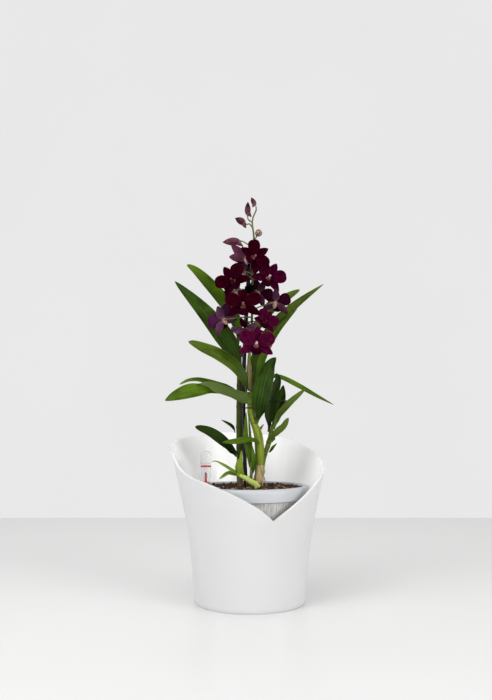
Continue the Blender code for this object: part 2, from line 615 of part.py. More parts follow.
def liner_pot():
    """The inner growing pot, with wick feet, drain holes and the sleeve of the level tube."""
    floor = LINER_BOTTOM + LINER_FLOOR
    profile = [(0, LINER_BOTTOM), (LINER_BOTTOM_RADIUS, LINER_BOTTOM),
               (LINER_TOP_RADIUS, LINER_TOP), (LINER_TOP_RADIUS - LINER_WALL, LINER_TOP),
               (liner_inner_radius(floor), floor), (0, floor)]
    shapes = [turned(profile, LINER_SEGMENTS)]
    shapes.append(post(LEVEL_X, LEVEL_Y, LINER_BOTTOM + JOIN_LAP, SLEEVE_TOP, SLEEVE_RADIUS, 16))
    bores = [post(LEVEL_X, LEVEL_Y, LINER_BOTTOM - 5, SLEEVE_TOP + 5, SLEEVE_BORE, 16)]
    for x, y in liner_feet():
        shapes.append(post(x, y, PLANTER_FLOOR + GAP, floor - JOIN_LAP, FOOT_RADIUS, 12))
        bores.append(post(x, y, PLANTER_FLOOR + FOOT_FLOOR, floor + 5, FOOT_BORE, 10))
    for k in range(DRAIN_COUNT):
        turn = 2 * math.pi * (k + 0.5) / DRAIN_COUNT
        bores.append(post(DRAIN_RING * math.cos(turn), DRAIN_RING * math.sin(turn),
                          LINER_BOTTOM - 5, floor + 5, DRAIN_RADIUS, 6))
    pot = fused("liner_pot", shapes, material("liner grey", (0.46, 0.44, 0.42), 0.5))
    return cut(pot, bores)


def liner_collar():
    """The pale ring that caps the liner's rim and frames the growing medium."""
    low = COLLAR_BOTTOM
    top = COLLAR_TOP
    outer = COLLAR_RADIUS
    mouth = COLLAR_MOUTH
    bore = LINER_TOP_RADIUS + GAP
    profile = [(bore, low), (outer, low), (outer, top - 1.2), (outer - 1.0, top), (mouth, top),
               (mouth, low + 3.4), (mouth + 1.3, low + 3.4), (mouth + 1.3, LINER_TOP + GAP),
               (bore, LINER_TOP + GAP)]
    return new_object("liner_collar", turned(profile, LINER_SEGMENTS),
                      material("collar pale grey", (0.70, 0.72, 0.74), 0.35))


def level_tube():
    """The clear domed tube that shows the water level."""
    radius = LEVEL_TUBE_RADIUS
    bore = LEVEL_TUBE_BORE
    centre = LEVEL_TUBE_TOP - radius
    dome = [math.radians(90 - 22.5 * k) for k in range(1, 4)]
    outside = [(radius * math.cos(a), centre + radius * math.sin(a)) for a in dome]
    inside = [(bore * math.cos(a), centre + bore * math.sin(a)) for a in dome]
    shoulder = SLEEVE_TOP + GAP
    lip = LEVEL_TUBE_FOOT + LEVEL_LIP_HEIGHT
    profile = [(0, centre + bore)] + inside + [(bore, centre), (bore, lip)]
    profile += [(LEVEL_LIP_BORE, lip), (LEVEL_LIP_BORE, LEVEL_TUBE_FOOT), (radius, LEVEL_TUBE_FOOT)]
    profile += [(radius, shoulder), (radius + SHOULDER_WIDTH, shoulder),
                (radius + SHOULDER_WIDTH, shoulder + SHOULDER_HEIGHT)]
    profile += [(radius, shoulder + SHOULDER_HEIGHT), (radius, centre)] + outside[::-1]
    profile += [(0, LEVEL_TUBE_TOP)]
    clear = material("clear plastic", (0.93, 0.95, 0.96), 0.06, 0.0, 0.35)
    return new_object("level_tube", turned(profile, 14, (LEVEL_X, LEVEL_Y)), clear)


def level_float():
    """The float in the tube, with its rod and red pointer."""
    bottom = LEVEL_TUBE_FOOT + LEVEL_LIP_HEIGHT + GAP
    profile = [(0, bottom), (FLOAT_PROFILE[0][0], bottom)] + FLOAT_PROFILE + [(0, POINTER_TOP)]
    return new_object("level_float", turned(profile, 10, (LEVEL_X, LEVEL_Y)),
                      material("pointer red", (0.55, 0.02, 0.03), 0.4))


def stem_bases():
    """Where stems and the stake go into the growing medium, with their radii."""
    bases = [(*route[0][:3], route[1][3]) for route in
             (FRONT_CANE, REAR_CANE, RIGHT_CANE, NEW_SHOOT, INNER_SHOOT)]
    bases.append((*STAKE_ROUTE[0][:3], STAKE_RADIUS))
    return bases


def chip(rng, x, y):
    """One bark chip: a tapered block that lies half sunk in the surface."""
    length = rng.uniform(4, 8)
    width = rng.uniform(1.6, 3.4)
    height = rng.uniform(1.0, 1.9)
    turn = rng.uniform(0, math.pi)
    lean = rng.uniform(-0.16, 0.16)
    points = []
    for end, squeeze in ((-1, rng.uniform(0.55, 1)), (1, rng.uniform(0.4, 0.9))):
        for side in (-1, 1):
            for level in (-1, 1):
                px = end * length
                py = side * width * squeeze
                pz = level * height + px * lean
                points.append((x + px * math.cos(turn) - py * math.sin(turn),
                               y + px * math.sin(turn) + py * math.cos(turn),
                               SOIL_TOP + pz + 0.3))
    faces = [(0, 1, 3, 2), (4, 6, 7, 5), (0, 4, 5, 1), (2, 3, 7, 6), (1, 5, 7, 3), (0, 2, 6, 4)]
    return points, faces


def substrate():
    """The bark growing medium, with plain holes for the stems, the stake and the sleeve."""
    rng = random.Random(CHIP_SEED)
    reach = liner_inner_radius(SOIL_BOTTOM) - GAP
    segments = 28
    points, faces = turned(
        [(0, SOIL_BOTTOM), (reach, SOIL_BOTTOM), (SOIL_RADIUS, 84), (SOIL_RADIUS, SOIL_TOP - 1),
         (SOIL_RADIUS * 0.6, SOIL_TOP), (0, SOIL_TOP)], segments)
    points = [(x, y, z + 0.7 * math.sin(0.21 * x + 1) * math.cos(0.17 * y) if z > 120 else z)
              for x, y, z in points]
    shapes = [(points, faces)]
    for x, y in liner_feet():
        shapes.append(post(x, y, PLANTER_FLOOR + FOOT_FLOOR + GAP, SOIL_BOTTOM + 4,
                           FOOT_BORE - GAP, 10))
    stems = stem_bases()
    placed = []
    while len(placed) < CHIP_COUNT:
        reach = CHIP_REACH * math.sqrt(rng.random())
        turn = rng.uniform(0, 2 * math.pi)
        x = reach * math.cos(turn)
        y = reach * math.sin(turn)
        clear = all(math.hypot(x - s[0], y - s[1]) > CHIP_STEM_SPACE for s in stems)
        clear = clear and math.hypot(x - LEVEL_X, y - LEVEL_Y) > CHIP_TUBE_SPACE
        spaced = all(math.hypot(x - p[0], y - p[1]) > CHIP_SPACING for p in placed)
        if clear and spaced:
            placed.append((x, y))
            shapes.append(chip(rng, x, y))
    soil = fused("bark_medium", shapes, material("bark brown", (0.09, 0.045, 0.022), 0.9))
    holes = [post(x, y, z - 1, SOIL_TOP + 8, radius + STEM_HOLE_GAP, 12)
             for x, y, z, radius in stems]
    holes.append(post(LEVEL_X, LEVEL_Y, SOIL_BOTTOM - 5, SOIL_TOP + 8, SLEEVE_RADIUS + GAP, 16))
    return cut(soil, holes)


def canes():
    """The three leafy canes of the plant."""
    ripe = material("cane yellow green", (0.30, 0.36, 0.08), 0.45)
    dark = material("cane dark green", (0.10, 0.17, 0.04), 0.5)
    fused("cane_front", [tube(smooth_route(FRONT_CANE, 15), 10),
                         tube(smooth_route(DRY_STUB, 3), 5)], ripe)
    new_object("cane_rear", tube(smooth_route(REAR_CANE, 9), 8), dark)
    new_object("cane_right", tube(smooth_route(RIGHT_CANE, 10), 8), ripe)


def stake_samples():
    """Sections of the stake."""
    return [(*s, STAKE_RADIUS) for s in smooth_route(STAKE_ROUTE, STAKE_RINGS)]


def stake():
    """The black support stake, with a tapered foot."""
    samples = stake_samples()
    samples[0] = (*samples[0][:3], STAKE_RADIUS * STAKE_FOOT_SHARE)
    new_object("stake", tube(samples, 8), material("stake black", (0.012, 0.012, 0.014), 0.45))


def belt(left, left_radius, right, right_radius, steps):
    """Outline of a band drawn round two upright rods, seen from above."""
    left = Vector(left)
    right = Vector(right)
    axis = (right - left).normalized()
    side = Vector((-axis.y, axis.x))
    outline = []
    for centre, radius, first in ((right, right_radius, -90), (left, left_radius, 90)):
        for k in range(steps + 1):
            turn = math.radians(first + 180 * k / steps)
            outline.append(centre + (axis * math.cos(turn) + side * math.sin(turn)) * radius)
    return outline


def stake_clip():
    """The black clip that holds the flower spike to the stake, tapered at its top."""
    rings = [(CLIP_BOTTOM, belt(*CLIP_BAND, CLIP_STEPS)),
             (CLIP_SHOULDER, belt(*CLIP_BAND, CLIP_STEPS)),
             (CLIP_TOP, belt(*CLIP_BAND_TOP, CLIP_STEPS))]
    count = len(rings[0][1])
    points = [(p.x, p.y, z) for z, outline in rings for p in outline]
    faces = [(i * count + k, i * count + (k + 1) % count, (i + 1) * count + (k + 1) % count,
              (i + 1) * count + k) for i in range(len(rings) - 1) for k in range(count)]
    faces.append(tuple(reversed(range(count))))
    faces.append(tuple(range(len(points) - count, len(points))))
    clip = new_object("stake_clip", (points, faces), material("clip black", (0.01, 0.01, 0.012), 0.35))
    return cut(clip, [tube(stake_samples(), 8, GAP),
                      tube(smooth_route(SPIKE, SPIKE_RINGS), 6, STEM_HOLE_GAP)])


def tie(name, outline, height, lean, wire):
    """A closed wire loop along an outline, lower on one side by the lean."""
    sides = 4
    count = len(outline)
    middle = sum(outline, Vector((0, 0))) / count
    points = []
    for spot in outline:
        away = (spot - middle).normalized()
        rise = height + lean * away.x
        for k in range(sides):
            roll = 2 * math.pi * k / sides
            reach = away * (wire * math.cos(roll))
            points.append((spot.x + reach.x, spot.y + reach.y, rise + wire * math.sin(roll)))
    faces = []
    for i in range(count):
        j = (i + 1) % count
        for k in range(sides):
            n = (k + 1) % sides
            faces.append((i * sides + k, j * sides + k, j * sides + n, i * sides + n))
    return new_object(name, (points, faces), material("tie black", (0.012, 0.016, 0.014), 0.5))


def ties():
    """The three wire ties: cane to stake, spike to stake, and round the leaves on the right."""
    for name, band, steps, height, lean, wire in TIES:
        tie(name, belt(*band, steps), height, lean, wire)


def cane_at(route, height):
    """Centre and radius of a stem at a height."""
    samples = smooth_route(route, 60)
    keys = [(s[2], s) for s in samples]
    for (low, first), (high, second) in zip(keys, keys[1:]):
        if low <= height <= high:
            share = (height - low) / max(1e-6, high - low)
            return tuple(p + (q - p) * share for p, q in zip(first, second))
    return samples[-1]


def leaf(name, cane, height, side, route, half_width, peak, blunt, facing, columns, surface):
    """A strap leaf whose base clasps its cane."""
    routes = {"front": FRONT_CANE, "rear": REAR_CANE, "right": RIGHT_CANE}
    x, y, z, radius = cane_at(routes[cane], height)
    out = Vector((math.cos(math.radians(side)), math.sin(math.radians(side)), 0))
    steps = 5 + round(0.032 * sum(math.dist(a, b) for a, b in zip(route, route[1:])))
    aim = Vector(facing).normalized()
    rise = max(0.0, (Vector(route[0]) - Vector((x, y, z)) - out * radius).normalized().z)
    start = Vector((x, y, z)) + out * (radius + 1.4 + 0.8 * (1 - rise))
    samples = smooth_route([tuple(start)] + route, steps + 1)
    inward = -out if aim.dot(-out) >= 0 else out
    clasp = 0.5 * rise if aim.dot(-out) >= 0 else -0.5 * rise
    grip = min(0.45 * half_width, 0.8 * (radius + 1))
    normals = []
    widths = []
    cups = []
    for i in range(steps + 1):
        s = i / steps
        hold = max(0.0, 1 - s / LEAF_HOLD)
        normals.append(aim.lerp(inward, hold).normalized())
        share = width_share(s, peak, LEAF_BASE_WIDTH, LEAF_END_WIDTH, blunt)
        widths.append(max(0.5, half_width * share * (1 - hold) + grip * hold))
        cups.append(LEAF_CUP + (clasp - LEAF_CUP) * hold)
    return new_object(name, blade(samples, normals, widths, cups, LEAF_THICKNESS, columns), surface)


def leaves():
    """All strap leaves, bright on the sunny shoots and dark on the old ones."""
    bright = material("leaf bright green", (0.11, 0.24, 0.03), 0.38)
    deep = material("leaf deep green", (0.03, 0.10, 0.02), 0.35)
    for row in LEAVES:
        leaf(*row, deep if row[0] in DARK_LEAVES else bright)
    new_object("leaf_twisted_left", folded_blade(TWISTED_LEAF, TWISTED_STEPS, LEAF_THICKNESS),
               bright)


def small_blade(route, half, facing, peak, steps):
    """A short leaf that is fused to its shoot."""
    widths = [max(0.45, half * width_share(i / steps, peak, 0.75, 0.1, 0.4))
              for i in range(steps + 1)]
    return blade(smooth_route(route, steps + 1), [Vector(facing).normalized()] * (steps + 1),
                 widths, [0.25] * (steps + 1), LEAF_THICKNESS, 2)


def shoots():
    """The lime new shoot at the front and the small shoot beside the stake."""
    fused("new_shoot", [tube(smooth_route(NEW_SHOOT, 8), 8)]
          + [small_blade(*row) for row in NEW_SHOOT_BLADES],
          material("shoot lime green", (0.36, 0.50, 0.07), 0.42))
    fused("inner_shoot", [tube(smooth_route(INNER_SHOOT, 5), 6)]
          + [small_blade(*row) for row in INNER_SHOOT_BLADES],
          material("shoot green", (0.16, 0.28, 0.05), 0.42))


def face_frame(heading, elevation, roll):
    """Right, up and outward directions of a bloom's face."""
    az = math.radians(heading)
    el = math.radians(elevation)
    out = Vector((math.sin(az) * math.cos(el), -math.cos(az) * math.cos(el), math.sin(el)))
    up = (Vector((0, 0, 1)) - out * out.z).normalized()
    right = up.cross(out)
    turn = math.radians(roll)
    top = up * math.cos(turn) - right * math.sin(turn)
    return top.cross(out), top, out


def tepal(centre, frame, angle, length, half, tilt, petal, stops):
    """One sepal or petal, arched back a little towards its tip."""
    peak, base, end, blunt, cup, front = PETAL_SHAPE if petal else SEPAL_SHAPE
    right, top, out = frame
    turn = math.radians(angle)
    away = top * math.cos(turn) - right * math.sin(turn)
    spot = centre + away * TEPAL_START + out * front
    samples = []
    normals = []
    widths = []
    before = 0.0
    for s in stops:
        lean = math.radians(tilt + TEPAL_CURL * s)
        spot = spot + (away * math.cos(lean) + out * math.sin(lean)) * (length * (s - before))
        before = s
        samples.append(tuple(spot))
        normals.append(out * math.cos(lean) - away * math.sin(lean))
        widths.append(half * width_share(s, peak, base, end, blunt))
    return blade(samples, normals, widths, [cup] * len(stops), TEPAL_THICKNESS, 2)


def bloom_neck(centre, frame, size):
    """Unit direction and end of the short neck behind a bloom."""
    _, top, out = frame
    along = (top * 0.25 - out).normalized()
    return along, centre + along * (NECK_LENGTH * size)


def bloom(name, centre, heading, elevation, roll, size, tilt, stops, surface):
    """One bloom: three sepals, two petals, lip, column, chin and neck on a small core."""
    centre = Vector(centre)
    frame = face_frame(heading, elevation, roll)
    right, top, out = frame
    _, end = bloom_neck(centre, frame, size)
    column = centre + out * 4.6 * size + top * 0.9 * size
    core = [(*end, 0.75), (*(centre - out * 3.0 * size), 1.3 * size),
            (*(centre - out * 1.6 * size), 3.1 * size), (*(centre + out * 1.9 * size), 2.9 * size),
            (*column, 0.95 * size)]
    corner = top * math.cos(math.pi / 6) + right * math.sin(math.pi / 6)
    shapes = [tube(core, 6, 0.0, corner)]
    for angle, length, half, extra, petal in TEPALS:
        shapes.append(tepal(centre, frame, angle, length * size, half * size, tilt + extra, petal,
                            stops))
    chin = centre - top * 5.2 * size - out * 3.4 * size
    shapes.append(tube([(*(centre - top * 0.8), 2.2 * size), (*chin, 0.8)], 5))
    lip_route = [tuple(centre + (out * ahead - top * down) * size) for down, ahead in LIP_ROUTE]
    normals = [top * 0.7 + out * 0.7, top * 0.5 + out * 0.86, out, out - top * 0.4]
    shapes.append(blade(lip_route, [n.normalized() for n in normals],
                        [w * size for w in LIP_WIDTHS], [0.55, 0.5, 0.2, 0.1],
                        TEPAL_THICKNESS, 2))
    return fused(name, shapes, surface)


def blooms():
    """All open blooms of the spike."""
    surface = material("bloom burgundy", (0.075, 0.004, 0.022), 0.5)
    for name, centre, heading, elevation, roll, size, tilt, _ in BLOOMS:
        stops = PLAIN_TEPAL_STOPS if name in PLAIN_BLOOMS else TEPAL_STOPS
        bloom(name, centre, heading, elevation, roll, size, tilt, stops, surface)


def buds():
    """The closed buds, each with the spur that all such buds have."""
    surface = material("bud mauve", (0.16, 0.05, 0.09), 0.5)
    for name, base, tip, radius, spur in BUDS:
        low = Vector(base)
        high = Vector(tip)
        body = [(*low.lerp(high, s), max(0.4, radius * share)) for s, share in BUD_PROFILE]
        root = low.lerp(high, 0.30)
        point = low.lerp(high, 0.12) + Vector(spur).normalized() * radius * BUD_SPUR_REACH
        horn = [(*root, radius * 0.7), (*root.lerp(point, 0.6), radius * 0.5), (*point, 0.4)]
        fused(name, [tube(body, 8), tube(horn, 6)], surface)


def flower_spike():
    """The arching flower stem, with a stalk to each bud and each bloom."""
    shapes = [tube(smooth_route(SPIKE, SPIKE_RINGS), 6)]
    for height, middle, index in BUD_STALKS:
        start = cane_at(SPIKE, height)[:3]
        base = Vector(BUDS[index][1])
        into = (Vector(BUDS[index][2]) - base).normalized()
        route = [(*start, 0.75)] + [(*p, 0.7) for p in middle]
        route.append((*(base - into * 2.2), 0.65))
        shapes.append(tube(smooth_route(route, 3) + [(*(base - into * (GAP + 0.1)), 0.65)], 4))
    for _, centre, heading, elevation, roll, size, _, height in BLOOMS:
        along, end = bloom_neck(Vector(centre), face_frame(heading, elevation, roll), size)
        end = end + along * GAP
        start = Vector(cane_at(SPIKE, height)[:3])
        ahead = end + along * 3.5
        bend = (start + ahead) / 2 + Vector((0, 0, 0.6))
        route = [(*start, 0.85), (*bend, 0.75), (*ahead, 0.75)]
        shapes.append(tube(smooth_route(route, 3) + [(*end, 0.75)], 4))
    return fused("flower_spike", shapes, material("spike green", (0.20, 0.28, 0.07), 0.45))


def build():
    """Model the whole plant and its planter."""
    clear_scene()
    planter()
    liner_pot()
    liner_collar()
    level_tube()
    level_float()
    substrate()
    stake()
    stake_clip()
    ties()
    canes()
    shoots()
    leaves()
    flower_spike()
    buds()
    blooms()


build()
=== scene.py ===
# %% [markdown]
# # A potted dendrobium orchid
# The frame that is loaded here is a finished model of the plant: every stem, leaf, bloom and pot
# is there at its real size, but plain and with few faces.  This lesson dresses it.  Each piece is
# modelled again with fine curves, and each surface gets a material made of nodes.
# Lengths are written in millimetres, because that is how one measures a plant, and MM turns them
# into Blender's metres.  -Y is the front, +X the right and +Z up.

# %% Load the frame
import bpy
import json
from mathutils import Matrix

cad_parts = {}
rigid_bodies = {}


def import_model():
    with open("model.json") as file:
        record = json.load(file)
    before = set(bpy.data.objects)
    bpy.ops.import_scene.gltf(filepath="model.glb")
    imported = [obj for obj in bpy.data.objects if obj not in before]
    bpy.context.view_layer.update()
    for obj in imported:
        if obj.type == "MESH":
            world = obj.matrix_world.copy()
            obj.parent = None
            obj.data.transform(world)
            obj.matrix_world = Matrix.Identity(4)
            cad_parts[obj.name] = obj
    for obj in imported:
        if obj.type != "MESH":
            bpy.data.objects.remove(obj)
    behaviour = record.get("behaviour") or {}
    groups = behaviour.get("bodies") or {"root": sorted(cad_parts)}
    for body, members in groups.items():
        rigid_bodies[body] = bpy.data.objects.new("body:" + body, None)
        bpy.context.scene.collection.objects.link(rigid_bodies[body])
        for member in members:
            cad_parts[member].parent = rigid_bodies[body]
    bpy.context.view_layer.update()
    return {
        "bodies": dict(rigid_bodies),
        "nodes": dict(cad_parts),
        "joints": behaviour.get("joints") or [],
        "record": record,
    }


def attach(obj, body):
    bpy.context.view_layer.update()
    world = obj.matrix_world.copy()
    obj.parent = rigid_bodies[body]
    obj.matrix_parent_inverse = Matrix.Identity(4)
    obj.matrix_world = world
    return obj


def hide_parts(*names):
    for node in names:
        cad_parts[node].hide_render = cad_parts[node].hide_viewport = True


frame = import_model()

# %% Modules and names used all through
import json
import math
import random

import bpy
from mathutils import Vector, noise

MM = 0.001
PLANT = "plant_and_planter"
FLOAT = "float"

# %% [markdown]
# ## Camera
# The picture to match is 492 by 700 pixels.  The camera looks level along +Y from a little above
# the pot's rim.  A level camera keeps the pot's walls upright; moving the picture up with shift_y
# instead of tilting the camera is how product photographs are framed.

# %% Camera
PHOTO_SIZE = (492, 700)
FOCAL_PIXELS = 733
HORIZON_ROW = 426
AXIS_COLUMN = 250
CAMERA_DISTANCE = 843
CAMERA_HEIGHT = 201

camera = bpy.data.objects.new("camera", bpy.data.cameras.new("camera"))
bpy.context.scene.collection.objects.link(camera)
camera.location = (0, -CAMERA_DISTANCE * MM, CAMERA_HEIGHT * MM)
camera.rotation_euler = (math.pi / 2, 0, 0)
camera.data.sensor_width = 36
camera.data.lens = FOCAL_PIXELS * camera.data.sensor_width / PHOTO_SIZE[1]
camera.data.shift_x = (PHOTO_SIZE[0] / 2 - AXIS_COLUMN) / PHOTO_SIZE[1]
camera.data.shift_y = (HORIZON_ROW - PHOTO_SIZE[1] / 2) / PHOTO_SIZE[1]
bpy.context.scene.camera = camera
print("camera: lens", round(camera.data.lens, 1), "mm")

# %% [markdown]
# ## Curves through a few points
# A stem or a leaf's midline is given by a handful of points.  A Catmull-Rom curve passes through
# all of them smoothly, and reading it at even steps gives as many sections as a surface needs.


# %% Smooth routes
def smooth_route(route, count):
    """Read a smooth curve through the route's points at evenly spaced places."""
    marks = [tuple(float(c) for c in p) for p in route]
    ends = [marks[0]] + marks + [marks[-1]]
    dense = []
    for i in range(len(marks) - 1):
        a, b, c, d = ends[i:i + 4]
        for step in range(12):
            t = step / 12
            dense.append(tuple(
                0.5 * (2 * q + (r - p) * t + (2 * p - 5 * q + 4 * r - s) * t**2
                       + (3 * q - p - 3 * r + s) * t**3)
                for p, q, r, s in zip(a, b, c, d)))
    dense.append(marks[-1])
    run = [0.0]
    for first, second in zip(dense, dense[1:]):
        run.append(run[-1] + math.dist(first[:3], second[:3]))
    samples = []
    k = 1
    for i in range(count):
        at = run[-1] * i / (count - 1)
        while k < len(run) - 1 and run[k] < at:
            k += 1
        share = (at - run[k - 1]) / max(1e-9, run[k] - run[k - 1])
        samples.append(tuple(p + (q - p) * share for p, q in zip(dense[k - 1], dense[k])))
    return samples


def tangents(points):
    """Unit directions along a list of points."""
    last = len(points) - 1
    return [(points[min(i + 1, last)] - points[max(i - 1, 0)]).normalized()
            for i in range(last + 1)]


def level_direction(turn):
    """Level unit vector at an angle in radians from +X."""
    return Vector((math.cos(turn), math.sin(turn), 0))


def smoothstep(low, high, value):
    """A soft step from 0 at low to 1 at high."""
    t = min(1.0, max(0.0, (value - low) / (high - low)))
    return t * t * (3 - 2 * t)


# %% [markdown]
# ## A shape that remembers its grain
# Veins, fibres and streaks follow a surface, so each point also stores a little vector named
# grain.  On a leaf it holds the place across, the place along and which side it is; on a round
# stem it holds the place round the stem and the distance along it.  Materials read it later.


# %% Shape and its sheets and tubes
class Shape:
    """Points in millimetres with their grain, and faces with their material slots."""

    def __init__(self):
        self.points = []
        self.grain = []
        self.faces = []
        self.slots = []

    def rows(self, rows, grains):
        """Add rows of points and return their numbers."""
        numbers = []
        for row, marks in zip(rows, grains):
            first = len(self.points)
            self.points.extend(row)
            self.grain.extend(marks)
            numbers.append(list(range(first, first + len(row))))
        return numbers

    def skin(self, numbers, slot=0, closed=False):
        """Join neighbouring rows with four-sided faces."""
        for low, high in zip(numbers, numbers[1:]):
            count = len(low)
            for k in range(count if closed else count - 1):
                n = (k + 1) % count
                self.faces.append((low[k], low[n], high[n], high[k]))
                self.slots.append(slot)

    def face(self, numbers, slot=0):
        """Add one face."""
        self.faces.append(tuple(numbers))
        self.slots.append(slot)

    def blade(self, rows, slot=0):
        """A closed thin sheet; each cell is its upper point, its lower point and its grain."""
        top, under = (
            self.rows([[cell[side] for cell in row] for row in rows],
                      [[(*cell[2], float(side)) for cell in row] for row in rows])
            for side in (0, 1))
        self.skin(top, slot)
        self.skin([row[::-1] for row in under], slot)
        self.skin([[a[0], b[0]] for a, b in zip(under, top)], slot)
        self.skin([[b[-1], a[-1]] for a, b in zip(under, top)], slot)
        self.skin([under[0], top[0]], slot)
        self.skin([top[-1], under[-1]], slot)

    def band(self, rings):
        """A closed band through rings of points; the last ring joins the first."""
        numbers = self.rows(rings, [[tuple(p) for p in ring] for ring in rings])
        self.skin([row[::-1] for row in numbers + [numbers[0]]], closed=True)

    def tube(self, samples, sides, slot=0, lobes=0, depth=0.0):
        """A closed round tube through (x, y, z, radius); lobes press shallow grooves in it."""
        centres = [Vector(s[:3]) for s in samples]
        along = tangents(centres)
        across = along[0].orthogonal().normalized()
        rings = []
        grains = []
        run = 0.0
        for i, (centre, axis) in enumerate(zip(centres, along)):
            if i:
                run += (centre - centres[i - 1]).length
            across = (across - axis * across.dot(axis)).normalized()
            other = axis.cross(across)
            ring = []
            marks = []
            for k in range(sides):
                turn = math.tau * k / sides
                radius = samples[i][3] * (1 + depth * math.cos(lobes * turn))
                ring.append(centre + (across * math.cos(turn) + other * math.sin(turn)) * radius)
                marks.append((math.cos(turn) * samples[i][3], math.sin(turn) * samples[i][3], run))
            rings.append(ring)
            grains.append(marks)
        numbers = self.rows(rings, grains)
        self.skin(numbers, slot, closed=True)
        self.face(reversed(numbers[0]), slot)
        self.face(numbers[-1], slot)

    def turned(self, profile, segments, centre=(0.0, 0.0), slot=0):
        """Turn a closed profile of (radius, height), drawn anticlockwise, about an upright axis."""
        rings = []
        grains = []
        for radius, height in profile:
            turns = [math.tau * k / segments for k in range(segments)]
            rings.append([Vector((centre[0] + radius * math.cos(t),
                                  centre[1] + radius * math.sin(t), height)) for t in turns])
            grains.append([(math.cos(t) * radius, math.sin(t) * radius, height) for t in turns])
        numbers = self.rows(rings, grains)
        self.skin(numbers + [numbers[0]], slot, closed=True)


# %% From a shape to a piece of the model
def make_piece(name, shape, finishes, stands_for, body=PLANT, sharp=50):
    """Make an object of a shape, let it ride on its body and stand for its plain node."""
    mesh = bpy.data.meshes.new(name)
    mesh.from_pydata([tuple(p * MM) for p in shape.points], [], shape.faces)
    mesh.polygons.foreach_set("material_index", shape.slots)
    grain = mesh.attributes.new("grain", "FLOAT_VECTOR", "POINT")
    grain.data.foreach_set("vector", [c for mark in shape.grain for c in mark])
    mesh.shade_smooth()
    mesh.set_sharp_from_angle(angle=math.radians(sharp))
    for finish in finishes:
        mesh.materials.append(finish)
    piece = bpy.data.objects.new(name, mesh)
    bpy.context.scene.collection.objects.link(piece)
    return register(piece, stands_for, body)


def register(piece, stands_for, body=PLANT):
    """Tell the frame what a finished piece rides on and which nodes it stands for."""
    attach(piece, body)
    if stands_for:
        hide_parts(*stands_for)
    return piece


# %% [markdown]
# ## Materials from nodes
# Every finish here is one Principled shader with textures mixed in front of it.  The class below
# only shortens the typing: each method adds a node or two and returns the socket that comes out.


# %% A short way to write nodes
class Nodes:
    """A node tree that is written one node at a time."""

    def node(self, kind, inputs, output=0, **settings):
        """Add a node, fill its inputs with values or sockets, and return one output."""
        node = self.tree.nodes.new(kind)
        for label, value in settings.items():
            setattr(node, label, value)
        for label, value in inputs.items():
            if isinstance(value, bpy.types.NodeSocket):
                self.tree.links.new(value, node.inputs[label])
            else:
                node.inputs[label].default_value = value
        return node.outputs[output]

    def math(self, operation, first, second=0.0):
        """One sum of one or two numbers."""
        return self.node("ShaderNodeMath", {0: first, 1: second}, operation=operation)

    def times(self, first, second):
        """The product of two numbers."""
        return self.math("MULTIPLY", first, second)

    def plus(self, first, second):
        """The sum of two numbers."""
        return self.math("ADD", first, second)

    def minus(self, first, second):
        """The first number less the second."""
        return self.math("SUBTRACT", first, second)

    def join(self, x, y, z):
        """Three numbers as a vector."""
        return self.node("ShaderNodeCombineXYZ", {0: x, 1: y, 2: z})

    def split(self, vector):
        """The three numbers of a vector."""
        return self.node("ShaderNodeSeparateXYZ", {0: vector}).node.outputs


